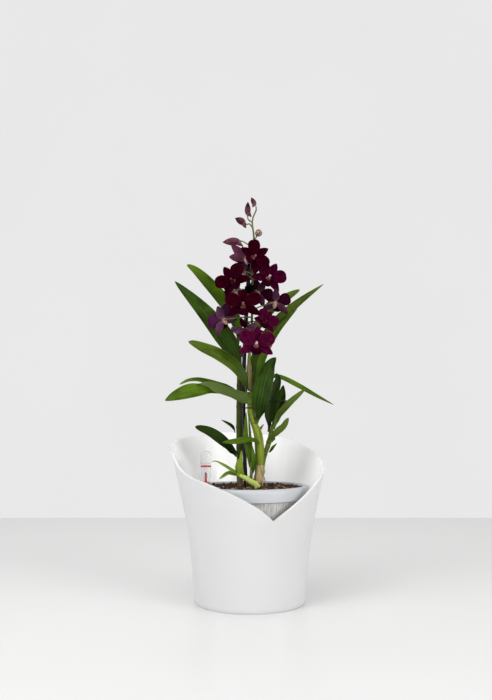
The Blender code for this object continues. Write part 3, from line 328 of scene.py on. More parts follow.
class Finish(Nodes):
    """A Principled material whose nodes are added one at a time."""

    def __init__(self, name, **sockets):
        self.material = bpy.data.materials.new(name)
        self.material.use_nodes = True
        self.tree = self.material.node_tree
        self.shader = self.tree.nodes["Principled BSDF"]
        for label, value in sockets.items():
            self.shader.inputs[label.replace("_", " ")].default_value = value

    def place(self, stretch=(1, 1, 1)):
        """Object coordinates in millimetres, stretched."""
        spot = self.node("ShaderNodeTexCoord", {}, "Object")
        return self.node("ShaderNodeMapping", {"Vector": spot,
                                               "Scale": tuple(s / MM for s in stretch)})

    def grain(self):
        """The three parts of the grain stored on the points."""
        return self.split(self.node("ShaderNodeAttribute", {}, "Vector", attribute_name="grain"))

    def noise(self, vector, scale, detail=3.0, roughness=0.55):
        """Cloudy noise from 0 to 1."""
        return self.node("ShaderNodeTexNoise", {"Vector": vector, "Scale": scale,
                                                "Detail": detail, "Roughness": roughness})

    def cloud(self, stretch, detail=3.0, roughness=0.55):
        """Noise through the space round the piece, stretched."""
        return self.noise(self.place(stretch), 1.0, detail, roughness)

    def grain_noise(self, stretch, detail=3.0, roughness=0.55):
        """Noise that follows the grain, stretched along each of its three parts."""
        parts = [self.times(part, scale) for part, scale in zip(self.grain(), stretch)]
        return self.noise(self.join(*parts), 1.0, detail, roughness)

    def ridges(self, wave, value, sharpness):
        """Ridges from 0 to 1: a wave of a number without its sign, raised to a power."""
        return self.math("POWER", self.math("ABSOLUTE", self.math(wave, value)), sharpness)

    def step(self, value, low, high):
        """A soft step from 0 at low to 1 at high."""
        return self.node("ShaderNodeMapRange", {"Value": value, "From Min": low,
                                                "From Max": high}, interpolation_type="SMOOTHSTEP")

    def fade(self, value, low, high):
        """A soft step from 1 at low to 0 at high."""
        return self.minus(1.0, self.step(value, low, high))

    def spread(self, value, low, high):
        """Bring a number from 0 to 1 into a range."""
        return self.node("ShaderNodeMapRange", {"Value": value, "To Min": low, "To Max": high})

    def mix(self, share, first, second):
        """Mix two colours."""
        inputs = {"Factor": share}
        for label, value in ((6, first), (7, second)):
            inputs[label] = value if isinstance(value, bpy.types.NodeSocket) else (*value, 1.0)
        return self.node("ShaderNodeMix", inputs, 2, data_type="RGBA")

    def cover(self, colour, share, strength, other):
        """Lay another colour over one, as thickly as share times strength."""
        return self.mix(self.times(share, strength), colour, other)

    def feed(self, **sockets):
        """Link sockets into the shader."""
        for label, value in sockets.items():
            self.tree.links.new(value, self.shader.inputs[label.replace("_", " ")])

    def bump(self, height, strength, distance):
        """Let a height, in millimetres times distance, raise the surface."""
        node = self.tree.nodes.new("ShaderNodeBump")
        node.inputs["Strength"].default_value = strength
        node.inputs["Distance"].default_value = distance * MM
        self.tree.links.new(height, node.inputs["Height"])
        self.tree.links.new(node.outputs[0], self.shader.inputs["Normal"])


def clouded(name, stretch, colours, rough, bump=None, **sockets):
    """A finish of two close colours clouded together, whose roughness follows the cloud."""
    finish = Finish(name, **sockets)
    cloud = finish.cloud(stretch)
    finish.feed(Base_Color=finish.mix(cloud, *colours), Roughness=finish.spread(cloud, *rough))
    if bump:
        finish.bump(cloud, *bump)
    return finish


# %% [markdown]
# ## Floor, backdrop and light
# The floor is a pale table top with a soft shine, so that the pot stands on its own faint
# reflection.  A plain wall that glows evenly stands far behind it, too far for the plant's shadow
# to reach it.  Large soft lights stand for the studio's boxes.  The front one is low: it
# reaches over the planter's low front rim and lights the inside of its wall.

# %% Floor and backdrop
FLOOR_BACK = 760
FLOOR_FRONT = -2600
FLOOR_HALF_WIDTH = 3200
WALL_PLACE = 2600
WALL_HALF_HEIGHT = 3200


def plane(name, corners, finish):
    """One flat face that belongs to the studio and not to the plant."""
    mesh = bpy.data.meshes.new(name)
    mesh.from_pydata([tuple(Vector(c) * MM) for c in corners], [], [(0, 1, 2, 3)])
    mesh.materials.append(finish.material)
    piece = bpy.data.objects.new(name, mesh)
    bpy.context.scene.collection.objects.link(piece)


table = Finish("pale table", Roughness=0.22, Specular_IOR_Level=0.35)
table.feed(Base_Color=table.mix(table.cloud((0.01, 0.01, 0.01)), (0.745, 0.742, 0.738),
                                (0.765, 0.763, 0.76)))
backdrop = Finish("pale wall", Base_Color=(0, 0, 0, 1), Roughness=1.0, Specular_IOR_Level=0.0,
                  Emission_Strength=1.0)
backdrop.feed(Emission_Color=backdrop.mix(backdrop.cloud((0.001, 0.001, 0.001)),
                                          (0.79, 0.79, 0.79), (0.83, 0.83, 0.83)))
plane("table_top", [(-FLOOR_HALF_WIDTH, FLOOR_FRONT, 0), (FLOOR_HALF_WIDTH, FLOOR_FRONT, 0),
                    (FLOOR_HALF_WIDTH, FLOOR_BACK, 0), (-FLOOR_HALF_WIDTH, FLOOR_BACK, 0)], table)
plane("wall", [(-FLOOR_HALF_WIDTH, WALL_PLACE, -WALL_HALF_HEIGHT),
               (FLOOR_HALF_WIDTH, WALL_PLACE, -WALL_HALF_HEIGHT),
               (FLOOR_HALF_WIDTH, WALL_PLACE, WALL_HALF_HEIGHT),
               (-FLOOR_HALF_WIDTH, WALL_PLACE, WALL_HALF_HEIGHT)], backdrop)
print("floor: back edge at", FLOOR_BACK, "mm")

# %% Lights
# Name, place, what it looks at, size, power in watts
LIGHTS = [("key", (-650, -950, 1300), (0, 0, 220), 700, 7.0),
          ("front", (0, -1800, 640), (0, 0, 220), 1000, 4.5),
          ("front right", (1400, -1150, 600), (0, 0, 200), 1000, 22.0),
          ("front left", (-1450, -1050, 600), (0, 0, 200), 1000, 16.0),
          ("top", (-60, 60, 1600), (0, 0, 220), 1300, 6.5)]
SKY_STRENGTH = 0.34


def soft_light(name, place, target, size, power):
    """A square area light."""
    data = bpy.data.lights.new(name, "AREA")
    data.size = size * MM
    data.energy = power
    lamp = bpy.data.objects.new(name, data)
    bpy.context.scene.collection.objects.link(lamp)
    lamp.location = Vector(place) * MM
    aim = Vector(target) * MM - lamp.location
    lamp.rotation_euler = aim.to_track_quat("-Z", "Y").to_euler()


for light in LIGHTS:
    soft_light(*light)
world = bpy.data.worlds.new("studio")
world.use_nodes = True
sky = world.node_tree.nodes["Background"].inputs
sky["Color"].default_value = (1, 1, 1, 1)
sky["Strength"].default_value = SKY_STRENGTH
bpy.context.scene.world = world
bpy.context.scene.view_settings.view_transform = "Standard"
print("lights:", len(LIGHTS))

# %% [markdown]
# ## The planter, with Geometry Nodes
# The planter is one wall that follows a rule: its radius depends on the height, its rim's height
# on the direction, and its left flap laps over the right one with a crease that fades downwards.
# A rule like that suits Geometry Nodes: a flat grid is bent round, and Float Curve nodes hold the
# rim and the profile.  Solidify then gives the wall its thickness and Bevel rounds the lip.

# %% Sizes of the planter
PLANTER_PROFILE = [(2.6, 64.0), (47, 67.3), (79, 71.4), (106, 75.8), (136, 82.3), (155, 86.4),
                   (176, 92.4), (195, 98.6)]
RIM_HEIGHTS = [(0, 100), (20, 120), (45, 136), (80, 151), (110, 176), (145, 188), (184, 192),
               (224, 186), (257, 171), (289, 154), (315, 139), (337, 120), (360, 100)]
PLANTER_WALL = 2.4
PLANTER_FOOT_RADIUS = 62.4
NOTCH_HEADING = -70.7
NOTCH_HEIGHT = 100.0
CREASE_SWEEP = 24.6
CREASE_END = 69.0
CREASE_REACH = 100.0
FLAP_LAP = 2.0
FLAP_FADE = 70.0
HEIGHT_RANGE = 200.0
RADIUS_RANGE = 100.0
FLOOR_ROWS = 6


# %% Helpers for node trees
class Tree(Nodes):
    """A Geometry Nodes tree with named inputs."""

    def __init__(self, name, inputs):
        self.tree = bpy.data.node_groups.new(name, "GeometryNodeTree")
        self.ids = {}
        face = self.tree.interface
        face.new_socket(name="Geometry", in_out="INPUT", socket_type="NodeSocketGeometry")
        face.new_socket(name="Geometry", in_out="OUTPUT", socket_type="NodeSocketGeometry")
        for label, kind, value in inputs:
            socket = face.new_socket(name=label, in_out="INPUT", socket_type=kind)
            if value is not None:
                socket.default_value = value
            self.ids[label] = socket.identifier
        self.inputs = self.tree.nodes.new("NodeGroupInput").outputs
        self.result = self.tree.nodes.new("NodeGroupOutput").inputs[0]

    def store(self, geometry, name, value, kind="FLOAT_VECTOR"):
        """Store a named attribute on the points."""
        return self.node("GeometryNodeStoreNamedAttribute", {"Geometry": geometry, "Name": name,
                                                             "Value": value},
                         data_type=kind, domain="POINT")

    def curve(self, value, pairs):
        """Read a smooth curve through (place, value) pairs, all from 0 to 1."""
        output = self.node("ShaderNodeFloatCurve", {"Value": value})
        mapping = output.node.mapping
        points = mapping.curves[0].points
        points[0].location = pairs[0]
        points[1].location = pairs[-1]
        for pair in pairs[1:-1]:
            points.new(*pair)
        mapping.update()
        return output

    def end(self, geometry, material):
        """Realize instances, set the material and link the result."""
        real = self.node("GeometryNodeRealizeInstances", {"Geometry": geometry})
        done = self.node("GeometryNodeSetMaterial", {"Geometry": real, "Material": material})
        self.tree.links.new(done, self.result)


def grow(name, data, tree, values, after=()):
    """Run a tree on an object, then other modifiers, and keep the plain mesh that comes out."""
    seed = bpy.data.objects.new(name + "_seed", data)
    bpy.context.scene.collection.objects.link(seed)
    step = seed.modifiers.new("nodes", "NODES")
    step.node_group = tree.tree
    for label, value in values.items():
        step[tree.ids[label]] = value
    for kind, settings in after:
        extra = seed.modifiers.new(kind.lower(), kind)
        for label, value in settings.items():
            setattr(extra, label, value)
    evaluated = seed.evaluated_get(bpy.context.evaluated_depsgraph_get())
    mesh = bpy.data.meshes.new_from_object(evaluated)
    seed.modifiers.clear()
    bpy.data.objects.remove(seed)
    mesh.name = name
    piece = bpy.data.objects.new(name, mesh)
    bpy.context.scene.collection.objects.link(piece)
    return piece


# %% The planter's tree
def planter_tree():
    """Bend a grid into the wrapped wall and its floor."""
    tree = Tree("wrapped wall", [("Columns", "NodeSocketInt", 280), ("Rows", "NodeSocketInt", 52),
                                 ("Floor rows", "NodeSocketInt", FLOOR_ROWS),
                                 ("Foot radius", "NodeSocketFloat", PLANTER_FOOT_RADIUS),
                                 ("Lap", "NodeSocketFloat", FLAP_LAP),
                                 ("Crease sweep", "NodeSocketFloat", CREASE_SWEEP),
                                 ("Finish", "NodeSocketMaterial", None)])
    m, times, plus, minus = tree.math, tree.times, tree.plus, tree.minus
    columns, rows, floor_rows = (tree.inputs[label] for label in ("Columns", "Rows", "Floor rows"))
    grid = tree.node("GeometryNodeMeshGrid", {"Size X": 1.0, "Size Y": 1.0,
                                              "Vertices X": columns, "Vertices Y": rows})
    parts = tree.split(tree.node("GeometryNodeInputPosition", {}))
    column = m("ROUND", times(plus(parts[0], 0.5), minus(columns, 1)))
    row = m("ROUND", times(plus(parts[1], 0.5), minus(rows, 1)))
    # Columns 0 and 1 stand on the same spot: only the second one has the flap's lap
    share = m("MAXIMUM", m("DIVIDE", minus(column, 1), minus(columns, 2)), 0.0)
    travel = times(share, 360)
    rim = times(tree.curve(share, [(t / 360, z / HEIGHT_RANGE) for t, z in RIM_HEIGHTS]),
                HEIGHT_RANGE)
    up = m("MAXIMUM", m("DIVIDE", minus(row, floor_rows), minus(minus(rows, floor_rows), 1)), 0.0)
    base = PLANTER_PROFILE[0][0]
    height = plus(base, times(minus(rim, base), up))
    # The crease runs on below the notch, sweeps to the right and fades
    fall = m("DIVIDE", minus(NOTCH_HEIGHT, height), NOTCH_HEIGHT - CREASE_END)
    fall = m("MAXIMUM", m("MINIMUM", fall, 1.0), 0.0)
    swept = minus(1.0, m("POWER", minus(1.0, fall), 1.4))
    away = m("MINIMUM", travel, minus(360, travel))
    reach = m("MAXIMUM", minus(1.0, m("DIVIDE", away, CREASE_REACH)), 0.0)
    pull = m("POWER", m("SINE", times(reach, math.pi / 2)), 2.0)
    shift = times(times(tree.inputs["Crease sweep"], swept), pull)
    turn = m("RADIANS", plus(minus(NOTCH_HEADING, travel), shift))
    fade = m("MINIMUM", m("DIVIDE", travel, FLAP_FADE), 1.0)
    lap = m("POWER", m("COSINE", times(fade, math.pi / 2)), 2.0)
    lap = times(times(lap, minus(1.0, fall)), tree.inputs["Lap"])
    lap = times(lap, m("GREATER_THAN", column, 0.5))
    profile = [(z / HEIGHT_RANGE, r / RADIUS_RANGE) for z, r in PLANTER_PROFILE]
    wall = plus(times(tree.curve(m("DIVIDE", height, HEIGHT_RANGE), profile), RADIUS_RANGE), lap)
    # The floor's rows run out from the middle, and the last one starts the wall
    inward = m("DIVIDE", row, floor_rows)
    floor = times(m("MINIMUM", times(inward, 1.2), 1.0), tree.inputs["Foot radius"])
    on_floor = m("LESS_THAN", row, minus(floor_rows, 0.5))
    radius = plus(times(on_floor, floor), times(minus(1.0, on_floor), wall))
    level = times(minus(1.0, on_floor), height)
    place = tree.join(times(radius, m("COSINE", turn)), times(radius, m("SINE", turn)), level)
    place = tree.node("ShaderNodeVectorMath", {0: place, "Scale": MM}, operation="SCALE")
    bent = tree.node("GeometryNodeSetPosition", {"Geometry": grid, "Position": place})
    closed = tree.node("GeometryNodeMergeByDistance", {"Geometry": bent, "Distance": 0.02 * MM})
    turned = tree.node("GeometryNodeFlipFaces", {"Mesh": closed})
    smooth = tree.node("GeometryNodeSetShadeSmooth", {"Geometry": turned})
    tree.end(smooth, tree.inputs["Finish"])
    return tree


# %% [markdown]
# The planter's plastic is white with a soft gloss.  Real moulded plastic is never quite even, so a
# faint cloud of noise moves its colour and its roughness, and a very fine bump breaks the
# reflections the way a moulded skin does.  The inner side is painted whiter than the outer one:
# this is painted bounce light, for the light caught inside the pot, and a number named outside,
# stored on the points, tells the two sides apart.

# %% White plastic
white = Finish("planter white", Specular_IOR_Level=0.35, Coat_Weight=0.10, Coat_Roughness=0.12,
               Subsurface_Weight=0.5, Subsurface_Scale=0.004, Subsurface_Radius=(1, 1, 1))
cloud = white.cloud((0.03, 0.03, 0.03))
outer = white.mix(cloud, (0.585, 0.586, 0.588), (0.605, 0.605, 0.605))
outward = white.node("ShaderNodeAttribute", {}, "Fac", attribute_name="outside")
# Painted light: the inner side gets a near-white colour as painted bounce light, and the outer side
# keeps the plastic's plain colour
white.feed(Base_Color=white.mix(outward, (0.98, 0.98, 0.975), outer),
           Roughness=white.spread(cloud, 0.27, 0.36))
white.bump(white.noise(white.place(), 2.2, 2.0), 0.08, 0.02)

# %% Grow the planter
planter = grow("planter_wall", bpy.data.meshes.new("planter_seed"), planter_tree(),
               {"Finish": white.material},
               [("SOLIDIFY", {"thickness": PLANTER_WALL * MM, "offset": -1.0,
                              "use_even_offset": True}),
                ("BEVEL", {"width": 0.7 * MM, "segments": 3, "limit_method": "ANGLE",
                           "angle_limit": math.radians(50), "harden_normals": False})])
planter.data.set_sharp_from_angle(angle=math.radians(40))
# 1 on the outer side and 0 on the inner side, for the painted bounce light that whitens the inner
# side
outside = planter.data.attributes.new("outside", "FLOAT", "POINT")
for vertex in planter.data.vertices:
    radial = Vector((vertex.co.x, vertex.co.y, 0)).normalized()
    outside.data[vertex.index].value = smoothstep(-0.6, 0.3, vertex.normal.dot(radial))
register(planter, ["planter"])
print("planter:", len(planter.data.polygons), "faces")

# %% [markdown]
# ## Liner, collar and level tube
# The pieces inside the planter are turned shapes: a profile of radius and height, swept round an
# upright axis.  The liner's wall is grey with drawn-out upright streaks, and the collar is a pale
# ring with a rounded lip.  The level tube is clear plastic with a domed end and a red scale.

# %% Profiles with round corners
LINER_BOTTOM = 32.0
LINER_TOP = 128.0
LINER_TOP_RADIUS = 65.7
LINER_BOTTOM_RADIUS = 59.4
LINER_WALL = 1.9
LINER_FLOOR = 2.4
FOOT_OFFSET = 34.0
FOOT_RADIUS = 7.0
PLANTER_FLOOR = 3.4
COLLAR_RADIUS = 68.1
COLLAR_TOP = 133.0
COLLAR_BOTTOM = 118.8
COLLAR_MOUTH = 61.0
LEVEL_PLACE = (-50.5, -6.0)
LEVEL_TUBE_RADIUS = 6.0
LEVEL_TUBE_BORE = 5.0
LEVEL_TUBE_TOP = 173.0
LEVEL_TUBE_FOOT = 5.6
TUBE_FLANGE = 1.6
TUBE_FOOT_HOLE = 3.2
SLEEVE_RADIUS = 8.2
SLEEVE_BORE = 6.5
SLEEVE_TOP = 130.6
GAP = 0.35
RING_SEGMENTS = 128


def rounded(profile, radius, steps=4):
    """Round every corner of a closed profile whose sides are long enough."""
    done = []
    count = len(profile)
    for i, corner in enumerate(profile):
        spot = Vector(corner)
        before = Vector(profile[i - 1]) - spot
        after = Vector(profile[(i + 1) % count]) - spot
        reach = min(radius, before.length * 0.45, after.length * 0.45)
        start = spot + before.normalized() * reach
        finish = spot + after.normalized() * reach
        for k in range(steps + 1):
            t = k / steps
            done.append(tuple(start * (1 - t)**2 + spot * (2 * t * (1 - t)) + finish * t**2))
    return done


# %% Finishes of the inner pieces
liner = Finish("liner grey", Specular_IOR_Level=0.4)
streak = liner.cloud((0.55, 0.55, 0.02), 4.0, 0.7)
fine = liner.cloud((2.0, 2.0, 0.05), 2.0)
tone = liner.mix(liner.step(streak, 0.30, 0.70), (0.24, 0.225, 0.215), (0.46, 0.445, 0.43))
liner.feed(Base_Color=liner.mix(liner.step(fine, 0.42, 0.75), tone, (0.60, 0.59, 0.575)),
           Roughness=liner.spread(streak, 0.4, 0.6))
liner.bump(fine, 0.3, 0.08)

collar = Finish("collar pale grey", Specular_IOR_Level=0.3)
cloud = collar.cloud((0.05, 0.05, 0.05))
collar.feed(Base_Color=collar.mix(cloud, (0.42, 0.435, 0.46), (0.46, 0.473, 0.495)),
            Roughness=collar.spread(cloud, 0.28, 0.4))
collar.bump(collar.noise(collar.place(), 1.6, 2.0), 0.15, 0.03)

# Layer Weight darkens the clear plastic where it is seen edge on
clear = Finish("clear plastic", IOR=1.13, Transmission_Weight=1.0)
edge_on = clear.node("ShaderNodeLayerWeight", {"Blend": 0.5}, "Facing")
clear.feed(Base_Color=clear.mix(clear.step(edge_on, 0.55, 0.98), (0.95, 0.96, 0.965),
                                (0.22, 0.23, 0.25)),
           Roughness=clear.spread(clear.cloud((0.2, 0.2, 0.04)), 0.0, 0.01))

red = clouded("scale red", (0.4, 0.4, 0.4), ((0.42, 0.012, 0.02), (0.60, 0.02, 0.03)),
              (0.3, 0.5), Specular_IOR_Level=0.4)


# %% Liner pot
def liner_piece():
    """The growing pot: wall and floor, hollow wick feet and the sleeve of the level tube."""
    floor = LINER_BOTTOM + LINER_FLOOR
    share = LINER_FLOOR / (LINER_TOP - LINER_BOTTOM)
    inner = LINER_BOTTOM_RADIUS + (LINER_TOP_RADIUS - LINER_BOTTOM_RADIUS) * share - LINER_WALL
    shape = Shape()
    shape.turned(rounded([(0.01, LINER_BOTTOM), (LINER_BOTTOM_RADIUS, LINER_BOTTOM),
                          (LINER_TOP_RADIUS, LINER_TOP),
                          (LINER_TOP_RADIUS - LINER_WALL, LINER_TOP), (inner, floor),
                          (0.01, floor)], 1.2), RING_SEGMENTS)
    for side in (-1, 1):
        for end in (-1, 1):
            shape.turned(rounded([(4.8, PLANTER_FLOOR + GAP), (FOOT_RADIUS, PLANTER_FLOOR + GAP),
                                  (FOOT_RADIUS, floor), (4.8, floor)], 0.6), 32,
                         (side * FOOT_OFFSET, end * FOOT_OFFSET))
    shape.turned(rounded([(SLEEVE_BORE, LINER_BOTTOM), (SLEEVE_RADIUS, LINER_BOTTOM),
                          (SLEEVE_RADIUS, SLEEVE_TOP), (SLEEVE_BORE, SLEEVE_TOP)], 0.5), 48,
                 LEVEL_PLACE)
    return make_piece("liner_shell", shape, [liner.material], ["liner_pot"])


def collar_piece():
    """The pale ring on the liner's rim."""
    bore = LINER_TOP_RADIUS + GAP
    profile = [(bore, COLLAR_BOTTOM), (COLLAR_RADIUS, COLLAR_BOTTOM),
               (COLLAR_RADIUS, COLLAR_TOP - 3.6), (COLLAR_RADIUS - 1.5, COLLAR_TOP),
               (COLLAR_MOUTH, COLLAR_TOP), (COLLAR_MOUTH, COLLAR_BOTTOM + 3.4),
               (COLLAR_MOUTH + 1.3, COLLAR_BOTTOM + 3.4),
               (COLLAR_MOUTH + 1.3, LINER_TOP + GAP), (bore, LINER_TOP + GAP)]
    shape = Shape()
    shape.turned(rounded(profile, 1.1), RING_SEGMENTS)
    return make_piece("collar_ring", shape, [collar.material], ["liner_collar"])


liner_piece()
collar_piece()
print("liner and collar made")


# %% Level tube and float
def dome(radius, centre, steps):
    """Quarter circle from the wall to near the top of a dome."""
    turns = [math.pi / 2 * k / steps for k in range(1, steps)]
    arc = [(radius * math.cos(t), centre + radius * math.sin(t)) for t in turns]
    return arc + [(0.02, centre + radius)]


def level_tube_piece():
    """The clear tube with its shoulder and domed end."""
    centre = LEVEL_TUBE_TOP - LEVEL_TUBE_RADIUS
    shoulder = SLEEVE_TOP + GAP
    wide = LEVEL_TUBE_RADIUS + TUBE_FLANGE
    floor = LEVEL_TUBE_FOOT + TUBE_FLANGE
    profile = [(TUBE_FOOT_HOLE, LEVEL_TUBE_FOOT), (LEVEL_TUBE_RADIUS, LEVEL_TUBE_FOOT),
               (LEVEL_TUBE_RADIUS, shoulder), (wide, shoulder), (wide, shoulder + TUBE_FLANGE),
               (LEVEL_TUBE_RADIUS, shoulder + TUBE_FLANGE), (LEVEL_TUBE_RADIUS, centre)]
    profile += dome(LEVEL_TUBE_RADIUS, centre, 10)
    profile += dome(LEVEL_TUBE_BORE, centre, 10)[::-1]
    profile += [(LEVEL_TUBE_BORE, centre), (LEVEL_TUBE_BORE, floor), (TUBE_FOOT_HOLE, floor)]
    shape = Shape()
    shape.turned(profile, 64, LEVEL_PLACE)
    return make_piece("level_tube_clear", shape, [clear.material], ["level_tube"])


# Radius and height at each corner of the float, its rod, its disc and its pointer
FLOAT_BOTTOM = LEVEL_TUBE_FOOT + TUBE_FLANGE + GAP
FLOAT_PROFILE = [(0.02, FLOAT_BOTTOM), (4.3, FLOAT_BOTTOM), (4.3, 26), (0.9, 27), (0.9, 134),
                 (4.2, 134.6), (4.2, 137.2), (1.15, 138), (1.15, 148), (0.02, 148)]


def float_piece():
    """The float, its rod and its red pointer."""
    shape = Shape()
    shape.turned(rounded(FLOAT_PROFILE, 0.4), 40, LEVEL_PLACE)
    return make_piece("float_pointer", shape, [red.material], ["level_float"], FLOAT)


level_tube_piece()
float_piece()
print("level tube and float made")

# %% [markdown]
# The scale on the tube is a red ring and a few short ticks above it.  They repeat round a circle,
# which is a job for Geometry Nodes: a tick is placed on each point of an arc and turned to face
# outwards.

# %% Scale on the level tube
SCALE_RING_HEIGHT = 155.0
TICK_HEIGHT = 158.4
TICK_COUNT = 9


def tick_tree():
    """Set small upright blocks on an arc in front of the tube."""
    tree = Tree("scale ticks", [("Ticks", "NodeSocketInt", TICK_COUNT),
                                ("Tick size", "NodeSocketVector", (0.35, 0.12, 2.0)),
                                ("Radius", "NodeSocketFloat", LEVEL_TUBE_RADIUS),
                                ("Finish", "NodeSocketMaterial", None)])
    arc = tree.node("GeometryNodeCurveArc", {"Resolution": tree.inputs["Ticks"],
                                             "Radius": tree.inputs["Radius"],
                                             "Start Angle": math.radians(205),
                                             "Sweep Angle": math.radians(130)})
    points = tree.node("GeometryNodeCurveToPoints", {"Curve": arc}, mode="EVALUATED")
    block = tree.node("GeometryNodeMeshCube", {"Size": tree.inputs["Tick size"]})
    index = tree.node("GeometryNodeInputIndex", {})
    tall = tree.plus(0.55, tree.times(0.45, tree.math("MODULO", index, 2)))
    size = tree.join(1.0, 1.0, tall)
    parts = tree.split(tree.node("GeometryNodeInputPosition", {}))
    turn = tree.plus(tree.math("ARCTAN2", parts[1], parts[0]), math.pi / 2)
    ticks = tree.node("GeometryNodeInstanceOnPoints", {
        "Points": points, "Instance": block, "Rotation": tree.join(0.0, 0.0, turn),
        "Scale": size})
    placed = tree.node("GeometryNodeTransform", {
        "Geometry": ticks, "Translation": (LEVEL_PLACE[0] * MM, LEVEL_PLACE[1] * MM,
                                           TICK_HEIGHT * MM), "Scale": (MM, MM, MM)})
    tree.end(placed, tree.inputs["Finish"])
    return tree


ticks = grow("scale_ticks", bpy.data.meshes.new("tick_seed"), tick_tree(),
             {"Finish": red.material})
register(ticks, [])
near = LEVEL_TUBE_RADIUS + 0.02
far = LEVEL_TUBE_RADIUS + 0.14
low = SCALE_RING_HEIGHT - 0.8
high = SCALE_RING_HEIGHT + 0.8
ring = Shape()
ring.turned([(near, low), (far, low), (far, high), (near, high)], 64, LEVEL_PLACE)
make_piece("scale_ring", ring, [red.material], [])
print("scale:", len(ticks.data.polygons), "tick faces")

# %% [markdown]
# ## Stems
# Canes, stalks and the stake are round rods along a route.  A curve holds the route and the
# thickness, and one tree sweeps a circle along it and stores the grain for the fibres.

# %% Routes of the stems
STAKE_RADIUS = 2.35
STAKE_ROUTE = [(-4.8, 4, 58), (-4.8, 4, 116), (-4.9, 4, 136), (-6.3, 4, 168), (-7.4, 4, 200),
               (-7.4, 4, 235), (-6.7, 4, 277), (-4.6, 4, 323), (-1.7, 4, 372), (-0.2, 4, 394)]
FRONT_CANE = [(8.2, -2, 116, 3.3), (8.2, -2, 133, 3.5), (10.6, -2.4, 152, 4.4),
              (11, -3, 172, 5.4), (9.2, -3, 191, 5.0), (4.4, -3, 204.5, 3.7),
              (1.7, -3, 213, 4.1), (0.8, -3, 223, 4.0), (0, -2.5, 240, 3.1)]
REAR_CANE = [(-11.6, 14, 116, 3.0), (-11.8, 14, 136, 3.3), (-12.6, 14, 190, 3.5),
             (-12.4, 14, 240, 3.2), (-12.2, 14, 272, 2.6), (-11.6, 14, 295, 1.5)]
RIGHT_CANE = [(12, 9, 116, 2.2), (12.2, 9, 134, 2.4), (14.2, 9, 151, 2.5), (17, 9, 167, 2.7),
              (20.8, 9.5, 178, 2.9), (22.9, 10, 186, 2.8), (25.3, 10, 197, 2.2),
              (26, 10, 203, 1.4)]
SPIKE = [(0, -2.5, 241.2, 2.7), (-1.0, -2.5, 262, 2.6), (-0.9, -2.2, 281, 1.9),
         (1.1, -2, 296, 1.5), (2.2, -2, 323, 1.4), (2.8, -2, 369, 1.3), (4.4, -2, 413, 1.1),
         (3.4, -2, 427, 1.0), (2.5, -2, 434, 0.95), (3.7, -2, 441, 0.9), (6.6, -2, 447, 0.8),
         (7.5, -2, 450.5, 0.75), (6.9, -2, 453, 0.7)]
NEW_SHOOT = [(8.4, -18, 119, 3.1), (8.4, -18, 131, 3.2), (6.3, -18.3, 135.4, 3.2),
             (0.8, -19, 138.6, 3.1), (-7, -20, 143.6, 2.8), (-12.3, -20.5, 146.3, 2.2),
             (-14.5, -20.6, 147.2, 1.3)]
INNER_SHOOT = [(1.2, -5.5, 117, 1.6), (1.2, -5.5, 134, 1.7), (1.5, -6.4, 150, 1.6),
               (1.0, -7.0, 160, 1.1)]
CANE_ROUTES = {"front": FRONT_CANE, "rear": REAR_CANE, "right": RIGHT_CANE}
CANE_JOINTS = {"front": (204.5, 229), "rear": (152, 176, 200, 224, 248, 272),
               "right": (150, 168, 182, 194)}


# %% The sweeping tree
def stem_tree():
    """Sweep a circle along each spline, as thick as the spline's radius."""
    tree = Tree("round stem", [("Rings", "NodeSocketInt", 60), ("Sides", "NodeSocketInt", 20),
                               ("Finish", "NodeSocketMaterial", None)])
    rail = tree.node("GeometryNodeResampleCurve", {"Curve": tree.inputs["Geometry"],
                                                   "Count": tree.inputs["Rings"]})
    length = tree.node("GeometryNodeSplineParameter", {}, "Length")
    rail = tree.store(rail, "run", length, "FLOAT")
    circle = tree.node("GeometryNodeCurvePrimitiveCircle", {"Resolution": tree.inputs["Sides"],
                                                            "Radius": 1.0})
    circle = tree.store(circle, "turn", tree.node("GeometryNodeInputPosition", {}))
    thickness = tree.node("GeometryNodeInputRadius", {})
    swept = tree.node("GeometryNodeCurveToMesh", {"Curve": rail, "Profile Curve": circle,
                                                  "Scale": thickness, "Fill Caps": True})
    turn = tree.node("GeometryNodeInputNamedAttribute", {"Name": "turn"},
                     data_type="FLOAT_VECTOR")
    run = tree.node("GeometryNodeInputNamedAttribute", {"Name": "run"}, data_type="FLOAT")
    parts = tree.split(turn)
    mark = tree.join(tree.times(parts[0], 3.0), tree.times(parts[1], 3.0),
                     tree.math("DIVIDE", run, MM))
    marked = tree.store(swept, "grain", mark)
    smooth = tree.node("GeometryNodeSetShadeSmooth", {"Geometry": marked})
    tree.end(smooth, tree.inputs["Finish"])
    return tree


STEM_TREE = stem_tree()


def rail_curve(name, routes):
    """Curve data with one dense spline for each route of (x, y, z, radius)."""
    curve = bpy.data.curves.new(name, "CURVE")
    curve.dimensions = "3D"
    for route in routes:
        length = sum(math.dist(a[:3], b[:3]) for a, b in zip(route, route[1:]))
        samples = smooth_route(route, max(4, round(length)))
        spline = curve.splines.new("POLY")
        spline.points.add(len(samples) - 1)
        for point, (x, y, z, radius) in zip(spline.points, samples):
            point.co = (x * MM, y * MM, z * MM, 1)
            point.radius = radius * MM
    return curve


def stems(name, routes, finish, stands_for, rings=60, sides=20):
    """One piece of swept stems."""
    piece = grow(name, rail_curve(name, routes), STEM_TREE,
                 {"Rings": rings, "Sides": sides, "Finish": finish.material})
    piece.data.set_sharp_from_angle(angle=math.radians(50))
    return register(piece, stands_for)


def swollen(route, joints, swell):
    """Read a cane finely and swell it a little at its ringed joints."""
    samples = []
    for x, y, z, radius in smooth_route(route, 90):
        near = max(math.exp(-((z - joint) / 1.6)**2) for joint in joints)
        samples.append((x, y, z, radius * (1 + swell * near)))
    return samples


# %% [markdown]
# A cane is green and striped along its length, yellower where it is ripe, with a thin brown ring
# at each joint.  The stripes are noise that is squeezed round the stem and stretched along it.


